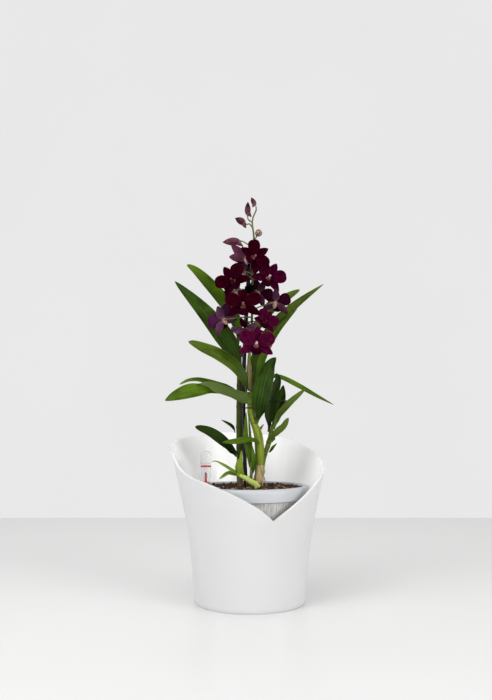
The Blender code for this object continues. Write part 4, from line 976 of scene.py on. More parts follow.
# %% Finishes of the stems
def cane_finish(name, light, dark, joints=(), ring=None, mottle=0.5):
    """Striped green stem with a brown ring at each joint height."""
    finish = Finish(name, Specular_IOR_Level=0.08)
    fibres = finish.grain_noise((1.6, 1.6, 0.035), 4.0, 0.6)
    patches = finish.cloud((0.12, 0.12, 0.05), 2.0)
    colour = finish.mix(finish.step(fibres, 0.30, 0.70), dark, light)
    colour = finish.cover(colour, finish.step(patches, 0.45, 0.7), mottle, dark)
    height = finish.split(finish.node("ShaderNodeTexCoord", {}, "Object"))[2]
    height = finish.plus(height, finish.times(finish.minus(fibres, 0.5), 0.002))
    for joint in joints:
        away = finish.math("ABSOLUTE", finish.minus(height, joint * MM))
        colour = finish.cover(colour, finish.fade(away, 0.0002, 0.0009), 0.85, ring)
    finish.feed(Base_Color=colour, Roughness=finish.spread(fibres, 0.32, 0.5))
    finish.bump(fibres, 0.35, 0.12)
    return finish


ripe_cane = cane_finish("ripe cane", (0.21, 0.25, 0.028), (0.07, 0.12, 0.008),
                        CANE_JOINTS["front"], (0.11, 0.045, 0.01))
dark_cane = cane_finish("dark cane", (0.065, 0.085, 0.012), (0.016, 0.032, 0.004),
                        CANE_JOINTS["rear"], (0.05, 0.025, 0.008))
side_cane = cane_finish("side cane", (0.15, 0.20, 0.025), (0.055, 0.10, 0.008),
                        CANE_JOINTS["right"], (0.08, 0.035, 0.01))
stalk = cane_finish("stalk green", (0.18, 0.20, 0.05), (0.055, 0.060, 0.014))
lime = cane_finish("lime shoot", (0.56, 0.63, 0.19), (0.24, 0.33, 0.035), mottle=0.2)
stake_black = clouded("stake black", (0.4, 0.4, 0.05),
                      ((0.002, 0.002, 0.0024), (0.006, 0.006, 0.007)), (0.14, 0.26), (0.2, 0.05),
                      Specular_IOR_Level=0.2)
clip_black = clouded("clip black", (0.5, 0.5, 0.5),
                     ((0.0008, 0.0008, 0.0010), (0.0022, 0.0020, 0.0024)), (0.4, 0.6),
                     Specular_IOR_Level=0.02)

# %% Canes and stake
STUB = [(9, -0.5, 195, 2.0), (12.8, 0.6, 199, 1.5), (15.6, 1, 203, 0.4)]
stems("cane_front_stem", [swollen(FRONT_CANE, CANE_JOINTS["front"], 0.10), STUB], ripe_cane,
      ["cane_front"], 120, 28)
stems("cane_rear_stem", [swollen(REAR_CANE, CANE_JOINTS["rear"], 0.12)], dark_cane,
      ["cane_rear"], 140, 24)
stems("cane_right_stem", [swollen(RIGHT_CANE, CANE_JOINTS["right"], 0.12)], side_cane,
      ["cane_right"], 90, 22)
stake_samples = [(*s, STAKE_RADIUS) for s in smooth_route(STAKE_ROUTE, 60)]
stake_top = Vector(stake_samples[-1][:3])
for rise, share in ((0.9, 0.9), (1.5, 0.66), (1.85, 0.3)):
    stake_samples.append((stake_top.x, stake_top.y, stake_top.z + rise, STAKE_RADIUS * share))
stems("stake_rod", [stake_samples], stake_black, ["stake"], 200, 24)
print("canes and stake made")

# %% [markdown]
# The clip and the ties hold the soft stems to the stake.  Each is drawn round two rods seen from
# above, which gives two half circles joined by straight lines.

# %% Clip and ties
# A band round two rods is given by both centres and radii
CLIP_BOTTOM = 352.0
CLIP_SHOULDER = 358.0
CLIP_TOP = 362.5
CLIP_BAND = ((-2.7, 4), 4.0, (2.6, -2), 2.7)
CLIP_BAND_TOP = ((-2.4, 4), 3.45, (2.7, -2), 2.45)
CLIP_BORE = ((-2.55, 4), 2.75, (2.6, -2), 1.85)
BELT_STEPS = 18
# Name, band, height, how far it leans, thickness of the wire, how far it arches
TIES = [("tie_cane", ((-7.5, 4), 3.9, (0.9, -3), 5.5), 221.7, -0.4, 0.6, 0),
        ("tie_spike", ((-7.2, 4), 5.0, (2.1, -2), 2.6), 320.5, 0.5, 0.5, 0),
        ("tie_leaves", ((21.0, 11), 8.3, (38.5, 15), 7.6), 228.2, 1.7, 0.6, 3.2)]


def belt(left, left_radius, right, right_radius):
    """Outline of a band drawn round two upright rods, seen from above."""
    left = Vector(left)
    right = Vector(right)
    axis = (right - left).normalized()
    side = Vector((-axis.y, axis.x))
    outline = []
    for centre, radius, first in ((right, right_radius, -90), (left, left_radius, 90)):
        for k in range(BELT_STEPS + 1):
            turn = math.radians(first + 180 * k / BELT_STEPS)
            outline.append(centre + (axis * math.cos(turn) + side * math.sin(turn)) * radius)
    return outline


def clip_piece():
    """The black clip: a band that tapers upwards, open where the stake and spike pass."""
    inner = belt(*CLIP_BORE)
    wide = belt(*CLIP_BAND)
    top = belt(*CLIP_BAND_TOP)
    middle = sum(wide, Vector((0, 0))) / len(wide)
    levels = [(CLIP_BOTTOM + 0.4, wide, 0.94), (CLIP_BOTTOM, wide, 0.90), (CLIP_BOTTOM, inner, 1),
              (CLIP_TOP, inner, 1), (CLIP_TOP, top, 0.92), (CLIP_TOP - 0.5, top, 1),
              (CLIP_SHOULDER, wide, 1), (CLIP_BOTTOM + 1.0, wide, 1)]
    rings = [[(middle + (p - middle) * share).to_3d() + Vector((0, 0, z)) for p in outline]
             for z, outline, share in levels]
    shape = Shape()
    shape.band(rings)
    return make_piece("clip_band", shape, [clip_black.material], ["stake_clip"])


def tie_piece(name, band, height, lean, wire, arch):
    """A wire loop that leans to one side and arches over in front."""
    outline = belt(*band)
    middle = sum(outline, Vector((0, 0))) / len(outline)
    rings = []
    for spot in outline:
        away = (spot - middle).normalized()
        rise = lean * away.x + arch * max(0.0, -away.y)**1.5
        centre = Vector((spot.x, spot.y, height + rise))
        rings.append([centre + away.to_3d() * (wire * math.cos(math.tau * k / 10))
                      + Vector((0, 0, wire * math.sin(math.tau * k / 10))) for k in range(10)])
    shape = Shape()
    shape.band(rings)
    return make_piece(name + "_wire", shape, [stake_black.material], [name])


clip_piece()
for row in TIES:
    tie_piece(*row)
print("clip and", len(TIES), "ties")

# %% [markdown]
# ## Leaves
# Each leaf is a thin blade along a route.  It clasps its cane at the base, widens to the middle
# and ends in a point.  Its cross section is a shallow trough with a groove along the midrib, and
# it is thickest there.

# %% Leaf table
# Name, cane, height where it grows, side of the cane in degrees (0 is +X, -90 the front),
# route to the tip, half width, place of the widest part, bluntness of the tip, facing of the
# upper side
LEAVES = [
    ("upper_left", "rear", 288, 185,
     [(-14.8, 16.5, 300), (-15.5, 17.5, 318), (-23.5, 18, 335.5), (-38.2, 19, 355.6),
      (-53, 20, 372.3), (-64.8, 21, 383.9), (-74.5, 21, 391.2)], 9.0, 0.5, 1.0,
     (0.35, -0.85, 0.35)),
    ("mid_left", "rear", 262, -150,
     [(-16, 9, 279), (-24.4, 9.5, 294.6), (-36.1, 10.5, 311.6), (-49.5, 11.5, 328.6),
      (-65.4, 13, 346.4), (-88, 14, 370.2)], 12.2, 0.36, 0.45, (0.3, -0.9, 0.2)),
    ("arched_left", "front", 233, 192,
     [(-5.4, -6.2, 243), (-8.2, -9.5, 255), (-19.3, -12.5, 269), (-36.2, -14, 280.7),
      (-53.2, -14, 288.3), (-69.7, -13, 296.8)], 9.5, 0.5, 1.2, (0.3, -0.75, 0.6)),
    ("back_left", "rear", 236, -170,
     [(-18.8, 11.5, 242.5), (-25.5, 9, 246.6), (-38.3, 7, 249.5), (-51, 6, 252),
      (-61.3, 5, 253.9), (-71.6, 4, 253.2), (-81.4, 3, 248.8)], 4.6, 0.6, 0.6,
     (0.1, -0.6, 0.8)),
    ("low_left", "rear", 165, -150,
     [(-19.4, 10.5, 171), (-27.9, 9, 179.5), (-38.3, 7, 187.7), (-49.2, 6, 194.6),
      (-63.7, 6, 200.3)], 7.6, 0.48, 1.0, (0.35, -0.75, 0.55)),
    ("small_left", "rear", 193, 180,
     [(-20, 13, 199), (-26, 12, 204), (-33.6, 11, 208)], 2.5, 0.46, 0.3, (0.3, -0.7, 0.6)),
    ("front_level", "front", 181, -90,
     [(5.3, -13, 184.6), (-3.4, -15, 185), (-16.9, -15, 183.2), (-31.6, -15, 182.2)], 4.6, 0.5,
     0.5, (0, -0.75, 0.65)),
    ("upper_right", "front", 233, 65,
     [(4.0, 4.6, 244), (5.6, 10.5, 262.5), (10, 17, 282), (21.2, 22, 304.8), (37.3, 25, 327.7),
      (59.3, 27, 348.2), (87.3, 28, 369.4)], 9.4, 0.42, 0.35, (-0.35, -0.8, 0.45)),
    ("far_right", "rear", 282, 5,
     [(-6, 16.5, 294), (6.5, 22, 315), (23.8, 29, 337.8), (40.7, 34, 352.3), (59.9, 38, 364.9)],
     7.4, 0.55, 0.9, (-0.3, -0.85, 0.4)),
    ("bright_right", "front", 227, -8,
     [(7.3, -3.8, 236), (8.9, -0.8, 251), (12.2, 4.5, 270), (20.3, 8, 291.6), (34.4, 11, 314.6),
      (55, 15, 337.9)], 5.0, 0.5, 0.4, (-0.3, -0.85, 0.4)),
    ("dark_right", "front", 204, -25,
     [(10.5, -8.5, 215), (12.3, -11.5, 228.2), (15, -12.5, 242.4), (19.3, -12.5, 258.8),
      (23.2, -12, 270.2), (29.5, -11, 278.9)], 10.9, 0.5, 0.7, (-0.25, -0.9, 0.3)),
    ("side_right", "right", 194, 180,
     [(21.8, 10.2, 209), (23.6, 10, 226.6), (28, 11, 241.8), (32.4, 12, 254.1),
      (30.7, 12, 262.8)], 6.9, 0.55, 0.6, (0.1, -0.95, 0.2)),
    ("back_right", "right", 197, 60,
     [(31, 15.5, 211), (34.2, 16.5, 224.5), (37.4, 17, 236.2), (39, 16.5, 249.1)], 6.5, 0.5, 0.6,
     (-0.2, -0.9, 0.2)),
    ("trailing_right", "front", 226, 128,
     [(-0.7, 5.8, 236), (9.2, 15, 250.2), (23.5, 20, 258.7), (36.6, 22, 257.9), (55.5, 23, 248.8),
      (78.1, 24, 236.7), (98.9, 24, 226.1)], 3.9, 0.6, 0.4, (0.1, -0.75, 0.65)),
    ("light_right", "right", 199, -30,
     [(31, 6, 208), (35.8, 4, 216), (45, 2.5, 225.8), (54.8, 2, 235), (64.2, 2, 243.9)], 5.5, 0.5,
     0.5, (-0.4, -0.7, 0.55)),
    ("curled_right", "right", 182, -45,
     [(27.5, 4.5, 189), (33, 2, 194.5), (39.8, 0.5, 200.5), (44.3, 1, 210.5)], 6.0, 0.5, 0.8,
     (-0.5, -0.6, 0.6)),
    ("small_right", "right", 170, -25,
     [(25.4, 5, 174), (28, 4, 177.5), (31, 3.4, 181)], 2.3, 0.46, 0.3, (-0.3, -0.7, 0.6)),
]
# Leaves that get the darker finishes: partly their own deeper tone, partly painted shade
DARK_SHADED_LEAVES = ("mid_left", "low_left", "dark_right", "side_right",
               "back_right", "small_left")
# Depth of the trough and width at the base, both as a share
LEAF_CUP = 0.27
LEAF_BASE = 0.30
# The twisted leaf: sections from its cane to its tip, each its midrib, near and far margin
TWISTED_LEAF = [
    ((2.0, -8.9, 228), (-1.4, -9.9, 224.2), (1.4, -8.4, 225.4)),
    ((0.9, -10.8, 231.7), (-2.4, -12.4, 225.6), (-0.8, -8.8, 228)),
    ((-4, -14, 238), (-11.3, -17, 228), (-9.1, -9.5, 231.7)),
    ((-14.3, -17, 241.2), (-21.4, -21, 233), (-18.7, -10, 235.1)),
    ((-25.5, -19, 245.3), (-31.5, -23, 236.5), (-27.8, -11.5, 236.9)),
    ((-37.7, -19, 249.5), (-39.7, -24, 239.5), (-37.3, -14, 237.9)),
    ((-47.2, -17, 250.6), (-45.8, -24, 244.3), (-46.1, -17, 237.6)),
    ((-56.1, -15.5, 248.9), (-53, -23, 247.6), (-54.9, -19.5, 235.2)),
    ((-66.3, -18.5, 242.8), (-65.6, -14.5, 249.2), (-64.9, -22, 232.8)),
    ((-77.8, -16.5, 238.2), (-77.1, -14, 246.1), (-76.3, -19.5, 230.8)),
    ((-88.6, -13.5, 233), (-89.6, -12, 238.3), (-88.1, -15.5, 229.6)),
    ((-96.2, -12, 230), (-96.2, -11.9, 230.8), (-96, -12.1, 229.3))]


# %% Building a leaf
def cane_at(route, height):
    """Centre and radius of a stem at a height."""
    samples = smooth_route(route, 60)
    for first, second in zip(samples, samples[1:]):
        if first[2] <= height <= second[2]:
            share = (height - first[2]) / max(1e-6, second[2] - first[2])
            return tuple(p + (q - p) * share for p, q in zip(first, second))
    return samples[-1]


def leaf_width(s, peak, base, blunt):
    """Half width along a blade as a share of its widest, from base (0) to tip (1)."""
    if s < peak:
        return base + (1 - base) * math.sin(math.pi / 2 * s / peak)**1.2
    fall = (s - peak) / (1 - peak)
    return max(0.02, max(0.0, 1 - fall**(1 + blunt))**(1 / (1 + 0.9 * blunt)))


def leaf_sheet(shape, samples, normals, half_widths, cups, seed, columns=20, thick=0.85):
    """Add one grooved blade to a shape."""
    rng = random.Random(seed)
    phase = rng.uniform(0, 6)
    wave = rng.uniform(0.25, 0.5)
    centres = [Vector(s[:3]) for s in samples]
    rows = []
    for i, (centre, axis, normal, half, cup) in enumerate(
            zip(centres, tangents(centres), normals, half_widths, cups)):
        s = i / (len(centres) - 1)
        up = (normal - axis * normal.dot(axis)).normalized()
        side = axis.cross(up)
        row = []
        for k in range(columns + 1):
            u = math.sin(math.pi / 2 * (2 * k / columns - 1))
            lift = cup * half * abs(u)**1.2 - 0.22 * math.exp(-(u / 0.13)**2) * min(1, half / 4)
            ruffle = wave * math.sin(9 * s + phase + (1.4 if u > 0 else 0)) * u * u
            ruffle += 0.07 * math.cos(16 * u) * smoothstep(0.08, 0.2, abs(u))
            lift += ruffle * min(1.0, half / 5) * smoothstep(0.15, 0.4, s)
            middle = centre + side * (u * half) + up * lift
            depth = thick * (0.34 + 0.16 * math.exp(-(u / 0.25)**2)) * min(1, 0.35 + half / 2.5)
            row.append((middle + up * depth, middle - up * depth * (1 - 0.6 * u * u), (u, s)))
        rows.append(row)
    shape.blade(rows)


def leaf_piece(name, cane, height, side, route, half_width, peak, blunt, facing, finish, slot,
               seed):
    """One strap leaf that clasps its cane."""
    x, y, z, radius = cane_at(CANE_ROUTES[cane], height)
    out = level_direction(math.radians(side))
    aim = Vector(facing).normalized()
    rise = max(0.0, (Vector(route[0]) - Vector((x, y, z)) - out * radius).normalized().z)
    start = Vector((x, y, z)) + out * (radius + 1.4 + 0.8 * (1 - rise))
    length = sum(math.dist(a, b) for a, b in zip(route, route[1:]))
    steps = round(14 + 0.32 * length)
    samples = smooth_route([tuple(start)] + route, steps + 1)
    inward, clasp = (-out, 0.5 * rise) if aim.dot(-out) >= 0 else (out, -0.5 * rise)
    grip = min(0.45 * half_width, 0.8 * (radius + 1))
    normals = []
    widths = []
    cups = []
    for i in range(steps + 1):
        s = i / steps
        hold = max(0.0, 1 - s / 0.25)
        normals.append(aim.lerp(inward, hold).normalized())
        share = leaf_width(s, peak, LEAF_BASE, blunt)
        widths.append(max(0.25, half_width * share * (1 - hold) + grip * hold))
        cups.append(LEAF_CUP + (clasp - LEAF_CUP) * hold)
    shape = Shape()
    leaf_sheet(shape, samples, normals, widths, cups, seed)
    return make_piece("leaf_" + name + "_blade", shape, [finish.material], ["leaf_" + name],
                      sharp=70)


# %% [markdown]
# One leaf folds along its midrib and then turns over, so that its pale underside shows first and
# its bright upper side after.  A route cannot say that, but sections can: each gives the midrib
# and both margins, and the surface between them bulges a little like a real blade.


# %% The twisted leaf
def twisted_leaf(finish):
    """The leaf that turns over, skinned through its sections."""
    flat = [tuple(c for spot in section for c in spot) for section in TWISTED_LEAF]
    half = 10
    spines = [[Vector(sample[i:i + 3]) for i in (0, 3, 6)] for sample in smooth_route(flat, 61)]
    along = tangents([spine[0] for spine in spines])
    rows = []
    for i, ((middle, near, far), axis) in enumerate(zip(spines, along)):
        s = i / (len(spines) - 1)
        far_up = (middle - far).cross(axis).normalized()
        near_up = (near - middle).cross(axis).normalized()
        row = []
        for k in range(2 * half + 1):
            u = k / half - 1
            edge, up = (far, far_up) if u < 0 else (near, near_up)
            width = (edge - middle).length
            share = smoothstep(0.0, 0.22, abs(u))
            lean = (far_up + near_up).normalized().lerp(up, share).normalized()
            bulge = 0.10 * width * math.sin(math.pi * abs(u)) + 0.06 * math.cos(16 * u)
            spot = middle.lerp(edge, abs(u)) - up * bulge * min(1.0, width / 5)
            depth = 0.42 * min(1.0, 0.3 + width / 4)
            row.append((spot + lean * depth * (1 - 0.3 * abs(u)), spot - lean * depth, (u, s)))
        rows.append(row)
    shape = Shape()
    shape.blade(rows)
    return make_piece("leaf_twisted_left_blade", shape, [finish.material], ["leaf_twisted_left"],
                      sharp=70)


# %% [markdown]
# A leaf's colour runs in fine parallel veins.  The sine of the place across gives the veins, a
# little noise keeps them from looking ruled, the margin is a thin pale line, and the underside,
# which the grain's third number marks, is paler and duller.  Pale streaks along some veins are a
# painted gloss highlight, and the blade is painted darker towards its base as painted shade.


# %% Leaf finishes
def leaf_finish(name, light, dark, under, margin, streak, gloss=(0.24, 0.40)):
    """Parallel-veined leaf with painted gloss streaks, a pale margin, painted shade towards its
    base and a dull underside.
    """
    finish = Finish(name, Specular_IOR_Level=0.05)
    across, along, below = finish.grain()
    drift = finish.grain_noise((7.0, 2.2, 1.0))
    bands = finish.grain_noise((3.2, 0.9, 1.0), 2.0)
    line = finish.plus(finish.times(across, 34.0), finish.times(drift, 5.0))
    vein = finish.ridges("SINE", line, 3.0)
    colour = finish.mix(finish.step(finish.cloud((0.05, 0.05, 0.05), 2.0), 0.34, 0.66), dark,
                        light)
    colour = finish.cover(colour, finish.step(bands, 0.42, 0.66), 0.6, light)
    colour = finish.cover(colour, vein, 0.30, light)
    colour = finish.cover(colour, finish.step(drift, 0.50, 0.75), 0.45, dark)
    # Painted highlight: pale gloss streaks laid along the veins in the colour named streak, which
    # also paints the pale midrib
    shine = finish.times(finish.step(bands, 0.54, 0.74), finish.step(vein, 0.2, 0.9))
    colour = finish.cover(colour, shine, 0.8, streak)
    width = finish.math("ABSOLUTE", across)
    rib = finish.fade(width, 0.0, 0.06)
    colour = finish.cover(colour, rib, 0.5, streak)
    dull = finish.cover(under, vein, 0.5, tuple(0.7 * c for c in under))
    colour = finish.mix(finish.step(below, 0.2, 0.8), colour, dull)
    colour = finish.cover(colour, finish.step(width, 0.95, 1.0), 0.6, margin)
    # Painted shade: the blade is darker towards its base, where it lies in the shade of the other
    # leaves and the blooms
    colour = finish.cover(colour, finish.fade(along, 0.12, 0.62), 0.5, dark)
    colour = finish.cover(colour, finish.fade(along, 0.0, 0.09), 0.5, (0.13, 0.17, 0.03))
    finish.feed(Base_Color=colour, Roughness=finish.spread(drift, *gloss))
    finish.bump(finish.minus(vein, rib), 0.35, 0.12)
    return finish


# The leaf finishes are one leaf at several brightnesses, partly each leaf's own tone and partly
# painted shade: the deep, dusk and shaded copies stand in for the shade on leaves that lie low or
# behind others, the bright and middle ones for lit leaves.
bright_leaf = leaf_finish("bright leaf", (0.075, 0.138, 0.005), (0.022, 0.052, 0.002),
                          (0.085, 0.118, 0.030), (0.19, 0.24, 0.06), (0.15, 0.22, 0.040))
shaded_deep_leaf = leaf_finish("shaded deep leaf", (0.020, 0.050, 0.0024), (0.006, 0.017, 0.0012),
                        (0.05, 0.085, 0.018), (0.08, 0.13, 0.03), (0.10, 0.165, 0.040))
shaded_dusk_leaf = leaf_finish("shaded dusk leaf", (0.016, 0.034, 0.003), (0.005, 0.011, 0.0012),
                        (0.03, 0.05, 0.012), (0.06, 0.09, 0.025), (0.04, 0.06, 0.02))
middle_leaf = leaf_finish("middle leaf", (0.070, 0.108, 0.008), (0.020, 0.042, 0.003),
                          (0.09, 0.13, 0.03), (0.22, 0.28, 0.07), (0.18, 0.24, 0.07))
shaded_leaf = leaf_finish("shaded leaf", (0.036, 0.072, 0.006), (0.012, 0.030, 0.0025),
                          (0.05, 0.09, 0.02), (0.10, 0.15, 0.04), (0.10, 0.15, 0.05))
olive_leaf = leaf_finish("olive leaf", (0.095, 0.140, 0.020), (0.050, 0.085, 0.010),
                         (0.09, 0.13, 0.035), (0.20, 0.25, 0.07), (0.15, 0.20, 0.05), (0.45, 0.6))
LEAF_TONES = {"arched_left": middle_leaf, "upper_right": middle_leaf,
              "mid_left": shaded_leaf, "side_right": shaded_dusk_leaf, "low_left": shaded_dusk_leaf,
              "light_right": olive_leaf, "curled_right": olive_leaf}
for number, row in enumerate(LEAVES):
    dark = row[0] in DARK_SHADED_LEAVES
    finish = LEAF_TONES.get(row[0], shaded_deep_leaf if dark else bright_leaf)
    leaf_piece(*row, finish, "leaf_deep" if dark else "leaf_bright", number)
twisted_leaf(bright_leaf)
print("leaves:", len(LEAVES) + 1)

# %% [markdown]
# ## Shoots
# The lime new shoot creeps out of the bark at the front and opens into a few small leaves, and a
# thin shoot stands beside the stake.  Each is one piece: a swept stem and small blades.


# %% Shoots
# Route, half width, facing and place of the widest part of each small leaf
NEW_LEAVES = [
    ([(-9.5, -21, 143), (-10.8, -22.8, 155), (-10.3, -23.5, 164), (-9.6, -23.5, 173.5)], 3.4,
     (0.1, -0.95, 0.1), 0.12),
    ([(-12, -20.6, 146), (-19, -21.5, 150), (-29, -22.5, 156.5), (-38.5, -22.5, 161.4),
      (-43, -22.5, 160.4)], 3.0, (0.4, -0.5, 0.75), 0.3),
    ([(-11, -19.5, 145), (-17.5, -17.5, 146.5), (-25.5, -16, 147), (-34.9, -15, 140.7)], 3.5,
     (0.2, -0.6, 0.75), 0.4),
    ([(-10.5, -19.5, 145.5), (-14.5, -17, 153.5), (-13.2, -16, 164)], 2.8, (0.2, -0.9, 0.1),
     0.3)]
INNER_LEAVES = [
    ([(1.3, -6.2, 146), (4.2, -8.6, 155), (3.8, -9, 168), (1.7, -9, 181.6)], 2.5,
     (-0.2, -0.95, 0.1), 0.45),
    ([(1.2, -6.8, 154), (-2, -8.2, 171), (-5, -8.6, 190), (-4.4, -8.6, 217)], 3.2,
     (0.15, -0.95, 0.1), 0.5),
    ([(1.2, -6.8, 156), (1.4, -6.4, 172), (0.2, -6.6, 190), (-1.9, -7.2, 215)], 1.8,
     (-0.1, -0.95, 0.1), 0.4)]
SMALL_LEAF_STEPS = 16


def shoot_piece(name, route, rings, sides, leaves, seed, finishes):
    """A shoot: its leaves in the first finish and its stem in the second."""
    shape = Shape()
    shape.tube(smooth_route(route, rings), sides, 1)
    count = SMALL_LEAF_STEPS + 1
    for number, (path, half, facing, peak) in enumerate(leaves):
        widths = [max(0.2, half * leaf_width(i / SMALL_LEAF_STEPS, peak, 0.75, 0.4))
                  for i in range(count)]
        leaf_sheet(shape, smooth_route(path, count), [Vector(facing).normalized()] * count,
                   widths, [0.32] * count, seed + number, 12)
    make_piece(name + "_growth", shape, [finish.material for finish in finishes], [name],
               sharp=70)


young_leaf = leaf_finish("young leaf", (0.20, 0.27, 0.022), (0.085, 0.15, 0.010),
                         (0.13, 0.18, 0.04), (0.32, 0.38, 0.10), (0.30, 0.36, 0.09))
shoot_piece("new_shoot", NEW_SHOOT, 40, 20, NEW_LEAVES, 31, (young_leaf, lime))
shoot_piece("inner_shoot", INNER_SHOOT, 24, 14, INNER_LEAVES, 35, (bright_leaf, stalk))
print("shoots made")

# %% [markdown]
# ## Blooms
# A dendrobium bloom has three pointed sepals behind, two broad round petals in front of them, a
# three-lobed lip opposite the upper sepal, a short pale column over the lip, and a blunt chin
# behind.  All blooms are the same flower seen from different sides, so one function makes them
# from a place, a heading and a roll.

# %% Bloom table
# Name, centre, heading and elevation of the face (heading 0 looks out of the front, 90 to the
# right), roll of the upper sepal, size, openness, height of its stalk on the spike, tone,
# brightness of the throat (0 to 2) and fullness of the petals
BLOOMS = [
    ("top_front", (5.8, -19, 391.7), 0, 2, -61, 0.86, 8, 384, "burgundy", 1, 1.0),
    ("upper_left", (-20.0, -15, 365.9), -12, 0, 36, 0.93, 8, 372, "burgundy", 0, 1.0),
    ("upper_right", (21.6, -12, 370), 12, 0, -27, 0.92, 8, 369, "plum", 2, 1.0),
    ("centre", (-7.6, -26, 336), 0, 8, 3, 1.0, 6, 332, "burgundy", 1, 0.94),
    ("right_side", (29.2, -6, 341.6), 143, 22, 16, 0.88, 12, 334, "burgundy", 1, 1.0),
    ("left_turned", (-30.0, -12, 321.6), -138, 14, -40, 0.92, 12, 326, "purple", 1, 1.1),
    ("lower_right", (17.0, -12, 318.8), 25, 16, -34, 0.72, 30, 307, "magenta", 0, 1.25),
    ("lowest", (7.0, -28, 292.6), 6, 2, -3, 1.0, 8, 300, "magenta", 2, 1.0),
    ("nodding", (-3.0, -10.5, 311.0), -22, -52, 8, 0.86, 10, 313, "veined", 0, 0.9),
    ("back_left", (-17, 3, 355), -142, -12, 25, 0.8, 10, 347, "dusty", 0, 1.0),
    ("back_upper", (-7, 13.8, 380), 172, 10, 0, 0.82, 10, 375, "burgundy", 0, 1.0),
    ("back_right", (9.6, 13, 356.5), 152, 0, 34, 0.84, 10, 338, "plum", 0, 1.0),
    ("half_open", (-4.4, -7.5, 391.8), -112, 14, 20, 1.04, 50, 399, "pale", 1, 0.95),
]
# Tepals: angle from the upper sepal, length, half width, tilt added, whether it is a petal
TEPALS = [(0, 18.7, 5.7, -4, False), (66, 20.2, 8.1, 5, True), (-66, 20.2, 8.1, 5, True),
          (120, 20.8, 5.4, -4, False), (-120, 20.8, 5.4, -4, False)]
# Blooms whose petals are still narrow and pointed
POINTED = ("half_open",)
TEPAL_CURL = -16
TEPAL_STEPS = 16
TEPAL_COLUMNS = 12
TEPAL_DEPTH = 0.30
LIP_STEPS = 20
LIP_COLUMNS = 12
LIP_DEPTH = 0.22


# %% Frame of a bloom
def face_frame(heading, elevation, roll):
    """Right, top and outward directions of a bloom's face."""
    az = math.radians(heading)
    el = math.radians(elevation)
    out = Vector((math.sin(az) * math.cos(el), -math.cos(az) * math.cos(el), math.sin(el)))
    up = (Vector((0, 0, 1)) - out * out.z).normalized()
    right = up.cross(out)
    turn = math.radians(roll)
    top = up * math.cos(turn) - right * math.sin(turn)
    return top.cross(out), top, out


def bloom_neck(centre, frame, size):
    """Direction and end of the short neck behind a bloom."""
    _, top, out = frame
    along = (top * 0.25 - out).normalized()
    return along, centre + along * (6.6 * size)


# %% Sepals and petals
def tepal_width(s, petal):
    """Half width along a sepal or petal as a share of its widest."""
    return leaf_width(s, 0.56, 0.26, 1.3) if petal else leaf_width(s, 0.42, 0.28, 0.45)


def tepal(shape, centre, frame, angle, length, half, tilt, petal, rng):
    """Add one sepal or petal, arched back a little towards its tip."""
    right, top, out = frame
    turn = math.radians(angle + rng.uniform(-3, 3))
    away = top * math.cos(turn) - right * math.sin(turn)
    side = away.cross(out)
    side_tip = rng.uniform(-0.10, 0.10)
    phase = rng.uniform(0, 6)
    ruffle, cup, forward = (0.55, 0.22, 1.0) if petal else (0.35, 0.18, -0.6)
    spot = centre + away * 1.3 + out * forward
    rows = []
    before = 0.0
    for i in range(TEPAL_STEPS + 1):
        s = math.sin(math.pi / 2 * i / TEPAL_STEPS)**0.92
        lean = math.radians(tilt + TEPAL_CURL * s)
        spot = spot + (away * math.cos(lean) + out * math.sin(lean)) * (length * (s - before))
        before = s
        up = out * math.cos(lean) - away * math.sin(lean)
        width = max(0.12, half * tepal_width(s, petal))
        row = []
        for k in range(TEPAL_COLUMNS + 1):
            u = math.sin(math.pi / 2 * (2 * k / TEPAL_COLUMNS - 1))
            lift = cup * width * abs(u)**1.5
            lift += ruffle * math.sin(7 * s + phase + 2.2 * u) * abs(u) * smoothstep(0.2, 0.8, s)
            lift -= 0.25 * math.exp(-(u / 0.16)**2) * (1 - s)
            middle = spot + side * (u * width + side_tip * width * s) + up * lift
            depth = TEPAL_DEPTH * (1 - 0.45 * u * u) * (1 - 0.35 * s)
            row.append((middle + up * depth, middle - up * depth, (u, s)))
        rows.append(row)
    shape.blade(rows, 0 if petal else 4)


# %% Lip, column, chin and neck
def lip(shape, centre, frame, size):
    """Add the lip: side lobes that rise beside the column and a round front lobe."""
    right, top, out = frame
    route = [tuple(centre - top * 0.6 * size + out * 0.6),
             tuple(centre - top * 2.6 * size + out * 2.6 * size),
             tuple(centre - top * 5.2 * size + out * 4.2 * size),
             tuple(centre - top * 9.0 * size + out * 4.4 * size),
             tuple(centre - top * 12.6 * size + out * 2.2 * size)]
    facing = out + top * 0.5
    centres = [Vector(p) for p in smooth_route(route, LIP_STEPS + 1)]
    along = tangents(centres)
    rows = []
    for i, (spot, axis) in enumerate(zip(centres, along)):
        s = i / LIP_STEPS
        up = right.cross(axis)
        if up.dot(facing) < 0:
            up = -up
        lobes = 3.7 * math.exp(-((s - 0.30) / 0.15)**2)
        front = 5.9 * math.sqrt(max(0.0, 1 - (abs(s - 0.72) / 0.29)**2.3))
        half = size * max(0.35 if s > 0.97 else 1.1, lobes, front)
        curl = 1.05 * math.exp(-((s - 0.30) / 0.2)**2) + 0.10
        row = []
        for k in range(LIP_COLUMNS + 1):
            u = 2 * k / LIP_COLUMNS - 1
            bend = curl * u
            reach = math.sin(bend) / curl
            lift = (1 - math.cos(bend)) / curl * half
            ridge = 0.5 * math.exp(-((abs(u) - 0.18) / 0.09)**2) * math.exp(-((s - 0.4) / 0.2)**2)
            ripple = 0.4 * math.sin(11 * u + 4 * s) * abs(u) * smoothstep(0.5, 0.9, s)
            middle = spot + right * (reach * half) + up * (lift + (ridge + ripple) * size)
            row.append((middle + up * LIP_DEPTH, middle - up * LIP_DEPTH, (u, s)))
        rows.append(row)
    if (rows[0][0][0] - rows[0][-1][0]).cross(along[0]).dot(facing) < 0:
        rows = [row[::-1] for row in rows]
    shape.blade(rows, 1)


